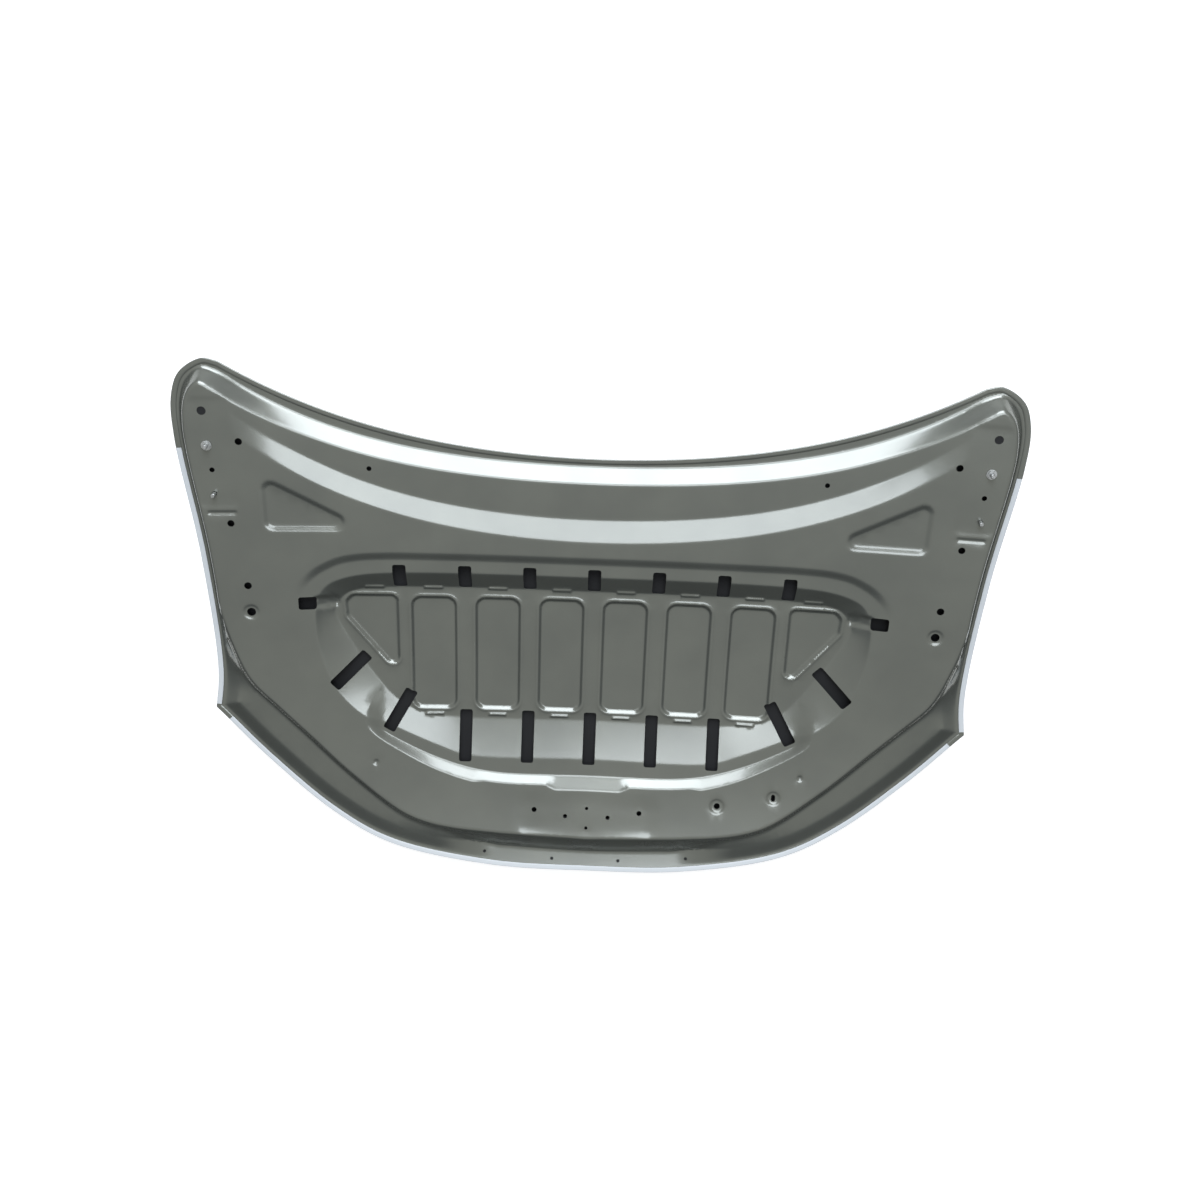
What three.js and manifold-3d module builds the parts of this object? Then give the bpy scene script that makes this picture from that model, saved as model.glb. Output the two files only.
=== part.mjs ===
// Car bonnet lying on the crown of its outer skin, with its inner side up.
// Millimetres. +X runs across the car, +Y to the windscreen edge, +Z away from the outer skin.
// The outer skin is hemmed round a pressed inner panel. Reinforcement plates, studs, weld nuts
// and mastic pads sit between the two sheets or stand on the inner one.

import * as THREE from "three";
import { mergeVertices } from "three/addons/utils/BufferGeometryUtils.js";
import Module from "manifold-3d";

const wasm = await Module();
wasm.setup();
const { Manifold, Mesh } = wasm;

// Plan outline
const halfTail = 764;
const halfShoulder = 735;
const halfWaist = 727;
const noseY = -523;
const shoulderY = -193;
const waistY = -120;
const tailY = 355;
const cornerX = 700;
const cornerY = 485;
const dipY = 317;
const rearRise = 152;
const rearCurl = 72;

// Sheets and clearances
const skinThickness = 0.8;
const panelThickness = 0.7;
const clearance = 0.3;
const hemWidth = 10;
const panelInset = 2.6;

// Crown of the outer skin
const crownY = 0;
const sideRise = 62;
const sidePower = 2.2;
const noseRise = 84;
const nosePower = 2.4;
const tailRise = 22;
const tailPower = 2;

// Heights of the inner panel above its flange
const mainLevel = 30;
const ringLevel = 25;
const shelfLevel = 20;
const ledgeLevel = 20;
const panLevel = 9;
const fieldLevel = 4;
const bandLevel = 22;
const bandFootLevel = 8;
const embossDrop = 4;
const grooveDrop = 2.5;
const grooveLength = 50;
const grooveWidth = 9;

// Flange, side wall and front band
const flangeWidth = 16;
const sideWallWidth = 12;
const bandInset = 42;
const bandWallWidth = 10;
const sideBandInset = 20;
const frontWallWidth = 38;
const valleyWallWidth = 10;

// Rear steps: place on the centre line, rise and curl towards the hinges
const shelfBackY = 274;
const shelfBackRise = 105;
const shelfBackCurl = 123;
const shelfWallWidth = 25;
const shelfFrontY = 204;
const shelfFrontRise = 152;
const shelfFrontCurl = 146;
const stepFootY = 161;
const stepFootRise = 171;
const stepFootCurl = 127;
const stepEndX = halfTail - 119;

// Oval ring and pan
const ringY = 130;
const ringWallWidth = 14;
const panBackY = 91;
const panFrontY = -292;
const panFootBackY = 57;
const panFootFrontY = -213;
const ledgeFrontY = -325;
const plateauY = -350;

// Recessed fields between the slots
const slotPitch = 124;
const fieldPitch = slotPitch;
const fieldHalfWidth = 44;
const fieldBackY = 38;
const fieldFrontY = -196;
const fieldWallWidth = 8;
const fieldRadius = 18;
const endFieldX = 368;
const endFieldLength = 129;

// Slots
const rearSlotLength = 48;
const rearSlotY = 82;
const frontSlotLength = 104;
const frontSlotY = -250;
const slotWidth = 25;
const outerSlotLength = 86;
const outerSlotX = 471;
const outerSlotY = -113;
const outerSlotTurn = 44;
const innerSlotLength = 90;
const innerSlotX = 378;
const innerSlotY = -198;
const innerSlotTurn = 60;
const sideSlotLength = 32;
const sideSlotX = 545;
const sideSlotY = 28;

// Hinge seats
const hingeX = halfTail - 78;
const hingeY = 318;
const hingeWidth = 56;
const hingeLength = 188;
const hingePlateThickness = 2;
const rearStudX = hingeX + 12;
const rearStudY = hingeY + 15;
const frontStudX = hingeX + 7.5;
const frontStudY = hingeY - 74.5;
const toolHoleX = hingeX + 7;
const toolHoleY = hingeY - 30;
const studRadius = 4;
const studClearance = 0.7;
const studHeight = 17;
const grooveX = hingeX - 3;
const grooveY = hingeY - 111;
const embossX = halfTail - 151;
const embossY = 172;
const studHeadRadius = 8.5;
const studHeadThickness = 2.2;
const nutAcrossFlats = 13;
const nutHeight = 6.5;
const nutFlangeRadius = 9;
const nutFlangeThickness = 1.6;

// Striker seat
const strikerY = -400;
const strikerWidth = 260;
const strikerLength = 64;
const strikerPlateWidth = 250;
const strikerPlateLength = 58;
const strikerPlateThickness = 1.5;
const strikerBoltX = 43;
const strikerBoltY = strikerY - 3;
const strikerBoltRadius = 4;
const strikerHoleX = 106;
const strikerHoleY = strikerY + 8;
const weldNutAcross = 14;
const weldNutHeight = 6.5;

// Mastic pads
const masticHalfLength = 20;
const masticHalfWidth = 9;
const masticY = -80;
const endMasticX = 406;
const endMasticY = -25;

// Mesh fineness
const gridPitch = 62;
const skinPitch = 68;
const seatPitch = 20;
const lineStep = 36;
const roundSides = 10;

const greyPaint = { color: 0x6e7470, roughness: 0.38, metalness: 0.25 };
const zinc = { color: 0xb9bcbc, roughness: 0.35, metalness: 0.9 };
const mastic = { color: 0x2b2c2e, roughness: 0.9, metalness: 0 };

const bonnet = new THREE.Group();

// Plan helpers
const at = (x, y) => new THREE.Vector2(x, y);

function smooth(points, steps, closed = false) {
  const through = points.map((p) => new THREE.Vector3(p.x, p.y, 0));
  const curve = new THREE.CatmullRomCurve3(through, closed, "centripetal");
  const made = curve.getSpacedPoints(steps);
  if (closed) made.pop();
  return made.map((p) => at(p.x, p.y));
}

function mirrored(points) {
  return points.map((p) => at(-p.x, p.y)).reverse();
}

// A half loop from the rear centre to the front centre becomes a whole loop.
function wholeLoop(half) {
  return [...half, ...mirrored(half.slice(1, -1))];
}

// A half line from the centre outwards becomes a whole line from left to right.
function wholeLine(half) {
  return [...mirrored(half.slice(1)), ...half];
}

function lengthOf(points) {
  return points.slice(1).reduce((sum, p, i) => sum + p.distanceTo(points[i]), 0);
}

function stations(points, closed = false) {
  const steps = Math.max(4, 2 * Math.round(lengthOf(points) / lineStep / 2));
  return smooth(points, steps, closed);
}

// Corners become short arcs, and long sides get stations between them.
function rounded(corners, radius) {
  const made = [];
  corners.forEach((corner, i) => {
    const before = corners[(i + corners.length - 1) % corners.length];
    const after = corners[(i + 1) % corners.length];
    const start = corner.clone().add(before.clone().sub(corner).setLength(radius));
    const end = corner.clone().add(after.clone().sub(corner).setLength(radius));
    made.push(...new THREE.QuadraticBezierCurve(start, corner, end).getPoints(2));
  });
  return made.flatMap((p, i) => {
    const next = made[(i + 1) % made.length];
    const pieces = Math.max(1, Math.round(p.distanceTo(next) / lineStep));
    return Array.from({ length: pieces }, (_, k) => p.clone().lerp(next, k / pieces));
  });
}

// Each point moves to its left by a distance, which may depend on the point.
function inset(points, distance, closed = false) {
  const n = points.length;
  return points.map((p, i) => {
    const before = points[closed ? (i + n - 1) % n : Math.max(i - 1, 0)];
    const after = points[closed ? (i + 1) % n : Math.min(i + 1, n - 1)];
    const way = after.clone().sub(before).normalize();
    const d = typeof distance === "function" ? distance(p) : distance;
    return at(p.x - way.y * d, p.y + way.x * d);
  });
}

function inside(loop, x, y) {
  let odd = false;
  loop.forEach((a, i) => {
    const b = loop[(i + 1) % loop.length];
    const crosses = a.y > y !== b.y > y;
    if (crosses && x < a.x + ((y - a.y) / (b.y - a.y)) * (b.x - a.x)) odd = !odd;
  });
  return odd;
}

function bowed(x, y, rise, curl) {
  const share = x / halfTail;
  return y + rise * share ** 2 + curl * share ** 4;
}

function bowedLine(y, rise, curl, endX, steps) {
  return Array.from({ length: steps + 1 }, (_, i) => {
    const x = endX * ((2 * i) / steps - 1);
    return at(x, bowed(x, y, rise, curl));
  });
}

const ramp = (v, from, to) => THREE.MathUtils.clamp((v - from) / (to - from), 0, 1);

// Outline, counter-clockwise from the left shoulder
function frontEdge() {
  const shape = [
    [0, 0],
    [0.27, 0.02],
    [0.54, 0.142],
    [0.7, 0.34],
    [0.87, 0.675],
    [1, 1],
  ];
  const half = shape.map(([u, v]) => at(u * halfShoulder, noseY + v * (shoulderY - noseY)));
  return smooth(wholeLine(half), 44);
}

function sideEdge() {
  const middleY = (waistY + tailY) / 2;
  const middleX = halfWaist + 0.33 * (halfTail - halfWaist);
  const drop = cornerY - tailY;
  const reach = halfTail - cornerX;
  return smooth(
    [
      at(halfShoulder, shoulderY),
      at(halfWaist, waistY),
      at(middleX, middleY),
      at(halfTail - 2, tailY - 0.12 * drop),
      at(halfTail - 0.08 * reach, tailY + 0.46 * drop),
      at(halfTail - 0.36 * reach, tailY + 0.8 * drop),
      at(cornerX, cornerY - 1),
      at(cornerX - 26, bowed(cornerX - 26, dipY, rearRise, rearCurl)),
    ],
    20,
  );
}

function outlineLoop() {
  const side = sideEdge();
  const rear = bowedLine(dipY, rearRise, rearCurl, cornerX - 26, 34).reverse();
  const all = [...frontEdge(), ...side.slice(1), ...rear.slice(1), ...mirrored(side).slice(1, -1)];
  return all;
}

const outline = outlineLoop();

// Height of the outer skin's outside at a plan point
function crown(x, y) {
  const side = sideRise * (Math.abs(x) / halfTail) ** sidePower;
  const nose = noseRise * (Math.max(0, crownY - y) / (crownY - noseY)) ** nosePower;
  const tail = tailRise * (Math.max(0, y - crownY) / (cornerY - crownY)) ** tailPower;
  return side + nose + tail;
}

const skinTop = (x, y) => crown(x, y) + skinThickness;
const panelUnder = (x, y, level) => skinTop(x, y) + clearance + level;

// A flat seat touches the crowned panel at its centre.
function seatPlane(x, y) {
  const d = 1;
  const slopeX = (crown(x + d, y) - crown(x - d, y)) / (2 * d);
  const slopeY = (crown(x, y + d) - crown(x, y - d)) / (2 * d);
  const height = panelUnder(x, y, mainLevel);
  const under = (px, py) => height + slopeX * (px - x) + slopeY * (py - y);
  const normal = new THREE.Vector3(-slopeX, -slopeY, 1).normalize();
  return { under, normal, rise: panelThickness / normal.z };
}

const hingeSeats = {
  right: seatPlane(hingeX, hingeY),
  left: seatPlane(-hingeX, hingeY),
};
const strikerSeat = seatPlane(0, strikerY);

function box(x, y, width, length) {
  const w = width / 2;
  const l = length / 2;
  return [at(x - w, y - l), at(x + w, y - l), at(x + w, y + l), at(x - w, y + l)];
}

// Crease lines of the inner panel: plan points, each with the height of the sheet there
const creases = [];

function crease(points, level) {
  points.forEach((p) => {
    const height = typeof level === "function" ? level(p) : level;
    creases.push({ x: p.x, y: p.y, level: height });
  });
}

function creaseBothSides(points, level) {
  crease(points, level);
  crease(mirrored(points), level);
}

// Valley line where the main face drops to the front band and flange
function valleyLine() {
  const shape = [
    [0, 76],
    [200, 85],
    [297, 97],
    [364, 120],
    [470, 201],
    [554, 284],
    [607, 339],
    [657, 396],
    [682, 455],
    [690, 520],
  ];
  const half = shape.map(([x, rise]) => at((x / 735) * halfShoulder, noseY + rise));
  return stations(wholeLine(half));
}

const valleyTop = valleyLine();
const centreShare = (p) => 1 - ramp(Math.abs(p.x), 190, 300);
const valleyWidth = (p) => valleyWallWidth + (frontWallWidth - valleyWallWidth) * centreShare(p);
const valleyFoot = inset(valleyTop, (p) => -valleyWidth(p));
const valleyFootLevel = (p) => bandLevel * (1 - centreShare(p));

const isSide = (p) => p.y > 12 && Math.abs(p.x) > stepEndX;
const isFrontSide = (p) => p.y <= 12 && p.y > shoulderY - 4;
const isFront = (p) => p.y <= shoulderY - 4 && Math.abs(p.x) > 262;

function edgeCreases() {
  crease(inset(outline, -2, true), 0);
  const flange = inset(outline, flangeWidth, true);
  const wallTop = inset(outline, flangeWidth + sideWallWidth, true);
  const sideFoot = inset(outline, sideBandInset, true);
  const sideTop = inset(outline, sideBandInset + bandWallWidth, true);
  const frontFoot = inset(outline, bandInset, true);
  const frontTop = inset(outline, bandInset + bandWallWidth, true);
  outline.forEach((p, i) => {
    if (isFront(p)) {
      crease([flange[i], frontFoot[i]], 0);
      crease([frontTop[i]], bandFootLevel);
    } else if (isFrontSide(p)) {
      crease([sideFoot[i]], 0);
      crease([sideTop[i]], bandFootLevel);
    } else {
      crease([flange[i]], 0);
      if (isSide(p)) crease([wallTop[i]], mainLevel);
    }
  });
  crease(valleyTop, mainLevel);
  crease(valleyFoot, valleyFootLevel);
}

function rearCreases() {
  const steps = 2 * Math.round(stepEndX / lineStep);
  const lines = [
    [shelfBackY, shelfBackRise, shelfBackCurl, shelfLevel],
    [shelfFrontY, shelfFrontRise, shelfFrontCurl, shelfLevel],
    [stepFootY, stepFootRise, stepFootCurl, mainLevel],
  ];
  lines.forEach(([y, rise, curl, level]) => {
    crease(bowedLine(y, rise, curl, stepEndX - 12, steps), level);
  });
  const shelfFoot = bowedLine(shelfBackY + shelfWallWidth, shelfBackRise, shelfBackCurl, stepEndX, steps);
  crease(shelfFoot, 0);
}

// Oval ring, pan wall and the ramps round the pan
const panTop = wholeLoop(
  smooth(
    [
      at(0, panBackY),
      at(390, panBackY),
      at(446, panBackY - 1),
      at(484, panBackY - 9),
      at(511, panBackY - 24),
      at(525, 42),
      at(533, 8),
      at(530, -40),
      at(520, -90),
      at(498, -148),
      at(455, -196),
      at(405, -222),
      at(305, panFrontY + 24),
      at(245, panFrontY + 3),
      at(0, panFrontY),
    ],
    52,
  ),
);
const panFoot = wholeLoop(
  smooth(
    [
      at(0, panFootBackY),
      at(384, panFootBackY),
      at(448, panFootBackY - 5),
      at(480, panFootBackY - 19),
      at(497, 10),
      at(492, -14),
      at(477, -42),
      at(443, -100),
      at(385, -175),
      at(335, panFootFrontY + 10),
      at(250, panFootFrontY),
      at(0, panFootFrontY),
    ],
    52,
  ),
);
const ringOuter = stations(
  wholeLine([
    at(0, ringY),
    at(300, ringY + 1),
    at(381, ringY),
    at(424, ringY - 7),
    at(519, ringY - 34),
    at(572, ringY - 76),
  ]),
);
const ringInner = inset(ringOuter, -ringWallWidth);

function panTopLevel(p) {
  const front = ramp(-p.y, 20, -panFrontY);
  return ringLevel + (ledgeLevel - ringLevel) * front;
}

const ledgeFront = stations(
  wholeLine([
    at(0, ledgeFrontY),
    at(200, ledgeFrontY + 3),
    at(305, ledgeFrontY + 31),
    at(404, ledgeFrontY + 80),
    at(438, ledgeFrontY + 104),
  ]),
);

// The face of the ledge wall steps round the striker pad.
function plateauEdge(p) {
  const x = Math.abs(p.x);
  const wall = ledgeFrontY - plateauY;
  const pad = 1 - ramp(x, 66, 86);
  const outer = ramp(x, 205, 225) * (1 - ramp(x, 300, 430));
  const narrow = 1 - 0.35 * ramp(x, 225, 430);
  return -wall * narrow * (0.55 + 0.45 * Math.max(pad, 0.6 * outer));
}

function panCreases() {
  crease(ringOuter, mainLevel);
  crease(ringInner, (p) => ringLevel + (mainLevel - ringLevel) * ramp(Math.abs(p.x), 520, 560));
  crease(panTop, panTopLevel);
  crease(panFoot, panLevel);
  crease(ledgeFront, (p) => ledgeLevel + (mainLevel - ledgeLevel) * ramp(Math.abs(p.x), 400, 438));
  crease(inset(ledgeFront, plateauEdge), mainLevel);
}

// Recessed fields
const fieldLoops = [];

function addField(corners) {
  const outer = rounded(corners, fieldRadius);
  const inner = inset(outer, fieldWallWidth, true);
  crease(outer, panLevel);
  crease(inner, fieldLevel);
  fieldLoops.push(inner);
}

function fieldCreases() {
  const length = fieldBackY - fieldFrontY;
  const middle = (fieldBackY + fieldFrontY) / 2;
  for (let k = -2.5; k <= 2.5; k += 1) {
    addField(box(k * fieldPitch, middle, 2 * fieldHalfWidth, length));
  }
  const end = [
    at(endFieldX, fieldBackY),
    at(endFieldX, fieldFrontY + 38),
    at(endFieldX + endFieldLength, fieldBackY - 22),
    at(endFieldX + endFieldLength - 19, fieldBackY),
  ];
  addField(mirrored(end).reverse());
  addField([...end].reverse().map((p) => p.clone()));
}

// Triangular embosses and the short grooves beside the hinges
function embossCreases() {
  const triangle = [
    at(embossX, embossY),
    at(embossX, embossY + 112),
    at(embossX - 144, embossY + 15),
    at(embossX - 152, embossY),
  ];
  const outer = rounded(triangle, 16);
  const inner = inset(outer, 8, true);
  creaseBothSides(outer, mainLevel);
  creaseBothSides(inner, mainLevel - embossDrop);
  creaseBothSides(box(grooveX, grooveY, grooveLength, grooveWidth), mainLevel - grooveDrop);
  const before = grooveY - grooveWidth - 3;
  creaseBothSides([at(grooveX - 20, before), at(grooveX + 18, before)], mainLevel);
}

// Flat seats: their points lie in one plane, whatever the crown does
const seats = [
  { loop: box(hingeX, hingeY, hingeWidth, hingeLength), plane: hingeSeats.right },
  { loop: box(-hingeX, hingeY, hingeWidth, hingeLength), plane: hingeSeats.left },
  { loop: box(0, strikerY, strikerWidth, strikerLength), plane: strikerSeat },
];

function seatPoints() {
  return seats.flatMap(({ loop, plane }) => {
    const [low, , high] = loop;
    const columns = Math.round((high.x - low.x) / seatPitch);
    const rows = Math.round((high.y - low.y) / seatPitch);
    return Array.from({ length: (columns + 1) * (rows + 1) }, (_, k) => {
      const x = THREE.MathUtils.lerp(low.x, high.x, (k % (columns + 1)) / columns);
      const y = THREE.MathUtils.lerp(low.y, high.y, Math.floor(k / (columns + 1)) / rows);
      return { x, y, height: plane.under(x, y), rise: plane.rise };
    });
  });
}

// Height of the panel between the crease lines, or null on a wall
function faceLevel(x, y) {
  const across = Math.abs(x);
  if (!inside(outline, x, y)) return 0;
  if (fieldLoops.some((loop) => inside(loop, x, y))) return fieldLevel;
  if (inside(panFoot, x, y)) return panLevel;
  if (inside(panTop, x, y)) return null;
  if (across < stepEndX) {
    if (y > bowed(x, shelfBackY + shelfWallWidth, shelfBackRise, shelfBackCurl)) return 0;
    if (y > bowed(x, shelfBackY, shelfBackRise, shelfBackCurl)) return null;
    if (y > bowed(x, shelfFrontY, shelfFrontRise, shelfFrontCurl)) return shelfLevel;
    if (y > bowed(x, stepFootY, stepFootRise, stepFootCurl)) return null;
  }
  if (across < 400 && y < panFrontY && y > ledgeFrontY) return null;
  return mainLevel;
}

function isMainFace(x, y) {
  const loop = [...valleyTop, ...valleyTop.map((p) => at(p.x, cornerY)).reverse()];
  return inside(loop, x, y) || y > 12;
}

function gridPoints() {
  const made = [];
  const rows = Math.ceil((cornerY - noseY) / gridPitch);
  const columns = Math.ceil(halfTail / gridPitch);
  for (let row = 0; row <= rows; row += 1) {
    for (let column = -columns; column <= columns; column += 1) {
      const x = (column + (row % 2) * 0.5) * gridPitch;
      const y = noseY + row * gridPitch + 11;
      const level = faceLevel(x, y);
      if (level !== null && isMainFace(x, y)) made.push({ x, y, level });
    }
  }
  return made;
}

// Every panel point with the height of the sheet's underside
function panelPoints() {
  edgeCreases();
  rearCreases();
  panCreases();
  fieldCreases();
  embossCreases();
  const kept = seatPoints();
  const clear = (p, gap) => kept.every((q) => (p.x - q.x) ** 2 + (p.y - q.y) ** 2 > gap * gap);
  const onSeat = (p) => seats.some(({ loop }) => inside(loop, p.x, p.y));
  const add = (p, gap) => {
    if (clear(p, gap) && !onSeat(p)) {
      const rise = p.level === 0 ? panelThickness : null;
      kept.push({ x: p.x, y: p.y, height: panelUnder(p.x, p.y, p.level), rise });
    }
  };
  creases.forEach((p) => add(p, 3));
  gridPoints().forEach((p) => add(p, 0.45 * gridPitch));
  return kept;
}

// Delaunay triangles of plan points, added one by one
function circle(a, b, c) {
  const bx = b.x - a.x;
  const by = b.y - a.y;
  const cx = c.x - a.x;
  const cy = c.y - a.y;
  const d = 2 * (bx * cy - by * cx);
  const ux = (cy * (bx * bx + by * by) - by * (cx * cx + cy * cy)) / d;
  const uy = (bx * (cx * cx + cy * cy) - cx * (bx * bx + by * by)) / d;
  return { x: a.x + ux, y: a.y + uy, r2: ux * ux + uy * uy };
}

function triangulate(points) {
  const far = 40 * halfTail;
  const jitter = (i, k) => 2e-3 * Math.sin(12.9898 * i + 78.233 * k);
  const all = points.map((p, i) => ({ x: p.x + jitter(i, 1), y: p.y + jitter(i, 2) }));
  const n = all.length;
  all.push({ x: -far, y: -far }, { x: far, y: -far }, { x: 0, y: far });
  const made = (a, b, c) => ({ v: [a, b, c], c: circle(all[a], all[b], all[c]) });
  let triangles = [made(n, n + 1, n + 2)];
  for (let i = 0; i < n; i += 1) {
    const p = all[i];
    const hit = triangles.filter(({ c }) => (p.x - c.x) ** 2 + (p.y - c.y) ** 2 < c.r2);
    const edges = new Map();
    hit.forEach(({ v }) => {
      v.forEach((a, k) => {
        const b = v[(k + 1) % 3];
        if (!edges.delete(`${b} ${a}`)) edges.set(`${a} ${b}`, [a, b]);
      });
    });
    const gone = new Set(hit);
    triangles = triangles.filter((t) => !gone.has(t));
    edges.forEach(([a, b]) => triangles.push(made(a, b, i)));
  }
  return triangles.map((t) => t.v).filter((v) => v.every((k) => k < n));
}

// A closed sheet between two heights over one set of plan triangles
function sheetSolid(points, triangles) {
  const n = points.length;
  const rise = sheetRise(points, triangles);
  const vertices = new Float32Array(n * 6);
  points.forEach((p, i) => {
    vertices.set([p.x, p.y, p.height], i * 3);
    vertices.set([p.x, p.y, p.height + rise[i]], (n + i) * 3);
  });
  const faces = [];
  const edges = new Map();
  triangles.forEach(([a, b, c]) => {
    faces.push(n + a, n + b, n + c, a, c, b);
    [[a, b], [b, c], [c, a]].forEach(([p, q]) => {
      if (!edges.delete(`${q} ${p}`)) edges.set(`${p} ${q}`, [p, q]);
    });
  });
  edges.forEach(([p, q]) => faces.push(p, q, n + q, p, n + q, n + p));
  return new Manifold(new Mesh({ numProp: 3, vertProperties: vertices, triVerts: new Uint32Array(faces) }));
}

// On a steep wall the sheet is taller, so that its thickness stays the same.
function sheetRise(points, triangles) {
  const sum = points.map(() => [0, 0]);
  const normal = new THREE.Vector3();
  const corner = triangles.map((v) => v.map((i) => new THREE.Vector3(points[i].x, points[i].y, points[i].height)));
  corner.forEach(([a, b, c], t) => {
    new THREE.Triangle(a, b, c).getNormal(normal);
    triangles[t].forEach((i) => {
      sum[i][0] += 1 / Math.max(normal.z, 0.35);
      sum[i][1] += 1;
    });
  });
  return points.map((p, i) => p.rise ?? panelThickness * (sum[i][0] / sum[i][1]));
}

// Solids from three.js geometry
function solidOf(geometry) {
  const bare = geometry.index ? geometry.toNonIndexed() : geometry.clone();
  bare.deleteAttribute("normal");
  bare.deleteAttribute("uv");
  const merged = mergeVertices(bare, 1e-4);
  return new Manifold(
    new Mesh({
      numProp: 3,
      vertProperties: new Float32Array(merged.attributes.position.array),
      triVerts: new Uint32Array(merged.index.array),
    }),
  );
}

function geometryOf(solid) {
  const { numProp, vertProperties, triVerts } = solid.getMesh();
  const positions = new Float32Array((vertProperties.length / numProp) * 3);
  for (let i = 0; i < positions.length / 3; i += 1) {
    positions.set(vertProperties.subarray(i * numProp, i * numProp + 3), i * 3);
  }
  const geometry = new THREE.BufferGeometry();
  geometry.setAttribute("position", new THREE.BufferAttribute(positions, 3));
  geometry.setIndex(new THREE.BufferAttribute(new Uint32Array(triVerts), 1));
  return geometry;
}

function prism(points, bottom, top) {
  const geometry = new THREE.ExtrudeGeometry(new THREE.Shape(points), {
    depth: top - bottom,
    bevelEnabled: false,
  });
  geometry.translate(0, 0, bottom);
  return solidOf(geometry);
}

const cutTop = sideRise + noseRise + tailRise + mainLevel + 50;

function turned(points, x, y, degrees) {
  const angle = THREE.MathUtils.degToRad(degrees);
  return points.map((p) => p.clone().rotateAround(at(0, 0), angle).add(at(x, y)));
}

function cornerCut(corners, radius) {
  return corners.flatMap((corner, i) => {
    const before = corners[(i + corners.length - 1) % corners.length];
    const after = corners[(i + 1) % corners.length];
    const start = corner.clone().add(before.clone().sub(corner).setLength(radius));
    const end = corner.clone().add(after.clone().sub(corner).setLength(radius));
    return [start, end];
  });
}

// Long slots round the pan
function slotCuts() {
  const cut = (x, y, length, degrees) =>
    turned(cornerCut(box(0, 0, length, slotWidth), 3), x, y, degrees);
  const loops = [];
  for (let k = -3; k <= 3; k += 1) loops.push(cut(k * slotPitch, rearSlotY, rearSlotLength, 90));
  for (let k = -2; k <= 2; k += 1) loops.push(cut(k * slotPitch, frontSlotY, frontSlotLength, 90));
  [1, -1].forEach((side) => {
    loops.push(cut(side * outerSlotX, outerSlotY, outerSlotLength, -side * outerSlotTurn));
    loops.push(cut(side * innerSlotX, innerSlotY, innerSlotLength, -side * innerSlotTurn));
    loops.push(cut(side * sideSlotX, sideSlotY, sideSlotLength, 0));
  });
  return loops;
}

function ring(x, y, radius, sides = roundSides) {
  return Array.from({ length: sides }, (_, i) => {
    const angle = (2 * Math.PI * i) / sides;
    return at(x + radius * Math.cos(angle), y + radius * Math.sin(angle));
  });
}

// Round holes: place and radius, on the right side and mirrored
const pairedHoles = [
  { x: hingeX + 14, y: hingeY + 77, r: 7.5 },
  { x: hingeX - 43, y: hingeY + 22, r: 6.2 },
  { x: toolHoleX, y: toolHoleY, r: 4.5 },
  { x: hingeX - 16, y: hingeY - 131, r: 6.2 },
  { x: halfTail - 114, y: 65, r: 6.8 },
  { x: halfTail - 116, y: 12, r: 8 },
  { x: 420, y: shelfBackY + 17, r: 4.5 },
  { x: strikerHoleX, y: strikerHoleY, r: 5 },
  { x: 68, y: noseY + 21, r: 3.2 },
  { x: 206, y: noseY + 32, r: 3.2 },
];
const locatingHoles = [strikerBoltY + 17, strikerBoltY - 22];
const keyhole = { x: 262, y: strikerY + 31, r: 6 };
const oblong = { x: 373, y: strikerY + 55, r: 4, length: 14 };

function holeCuts() {
  const loops = [];
  [1, -1].forEach((side) => {
    pairedHoles.forEach((hole) => loops.push(ring(side * hole.x, hole.y, hole.r)));
    loops.push(ring(side * strikerBoltX, strikerBoltY, strikerBoltRadius + clearance));
    loops.push(ring(side * rearStudX, rearStudY, studRadius + studClearance));
    loops.push(ring(side * frontStudX, frontStudY, studRadius + studClearance));
  });
  locatingHoles.forEach((y) => loops.push(ring(0, y, 3.2)));
  loops.push(ring(keyhole.x, keyhole.y, keyhole.r));
  loops.push(box(oblong.x, oblong.y, 2 * oblong.r, oblong.length));
  return loops;
}

// The inner panel is pressed, trimmed and pierced.
function innerPanel() {
  const points = panelPoints();
  const blank = sheetSolid(points, triangulate(points));
  const trim = prism(inset(outline, panelInset, true), -20, cutTop);
  const cuts = [...slotCuts(), ...holeCuts()].map((loop) => prism(loop, -20, cutTop));
  return cuts.reduce((panel, cut) => panel.subtract(cut), blank.intersect(trim));
}

// The outer skin with its edge folded over the inner panel
function outerSkin() {
  const stack = 2 * skinThickness + panelThickness + 2 * clearance;
  const hemUnder = stack - skinThickness;
  const folded = (distance, lift) => ({ loop: inset(outline, distance, true), lift });
  const edge = panelInset - 2 * clearance;
  const rings = [
    folded(edge, 0),
    folded(0.5, 0.4),
    folded(0, stack / 2),
    folded(0.5, stack - 0.4),
    folded(edge, stack),
    folded(hemWidth, stack),
    folded(hemWidth, hemUnder),
    folded(edge, hemUnder),
    folded(edge, skinThickness),
  ];
  return skinSolid(rings, skinInterior(rings[0].loop));
}

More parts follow.
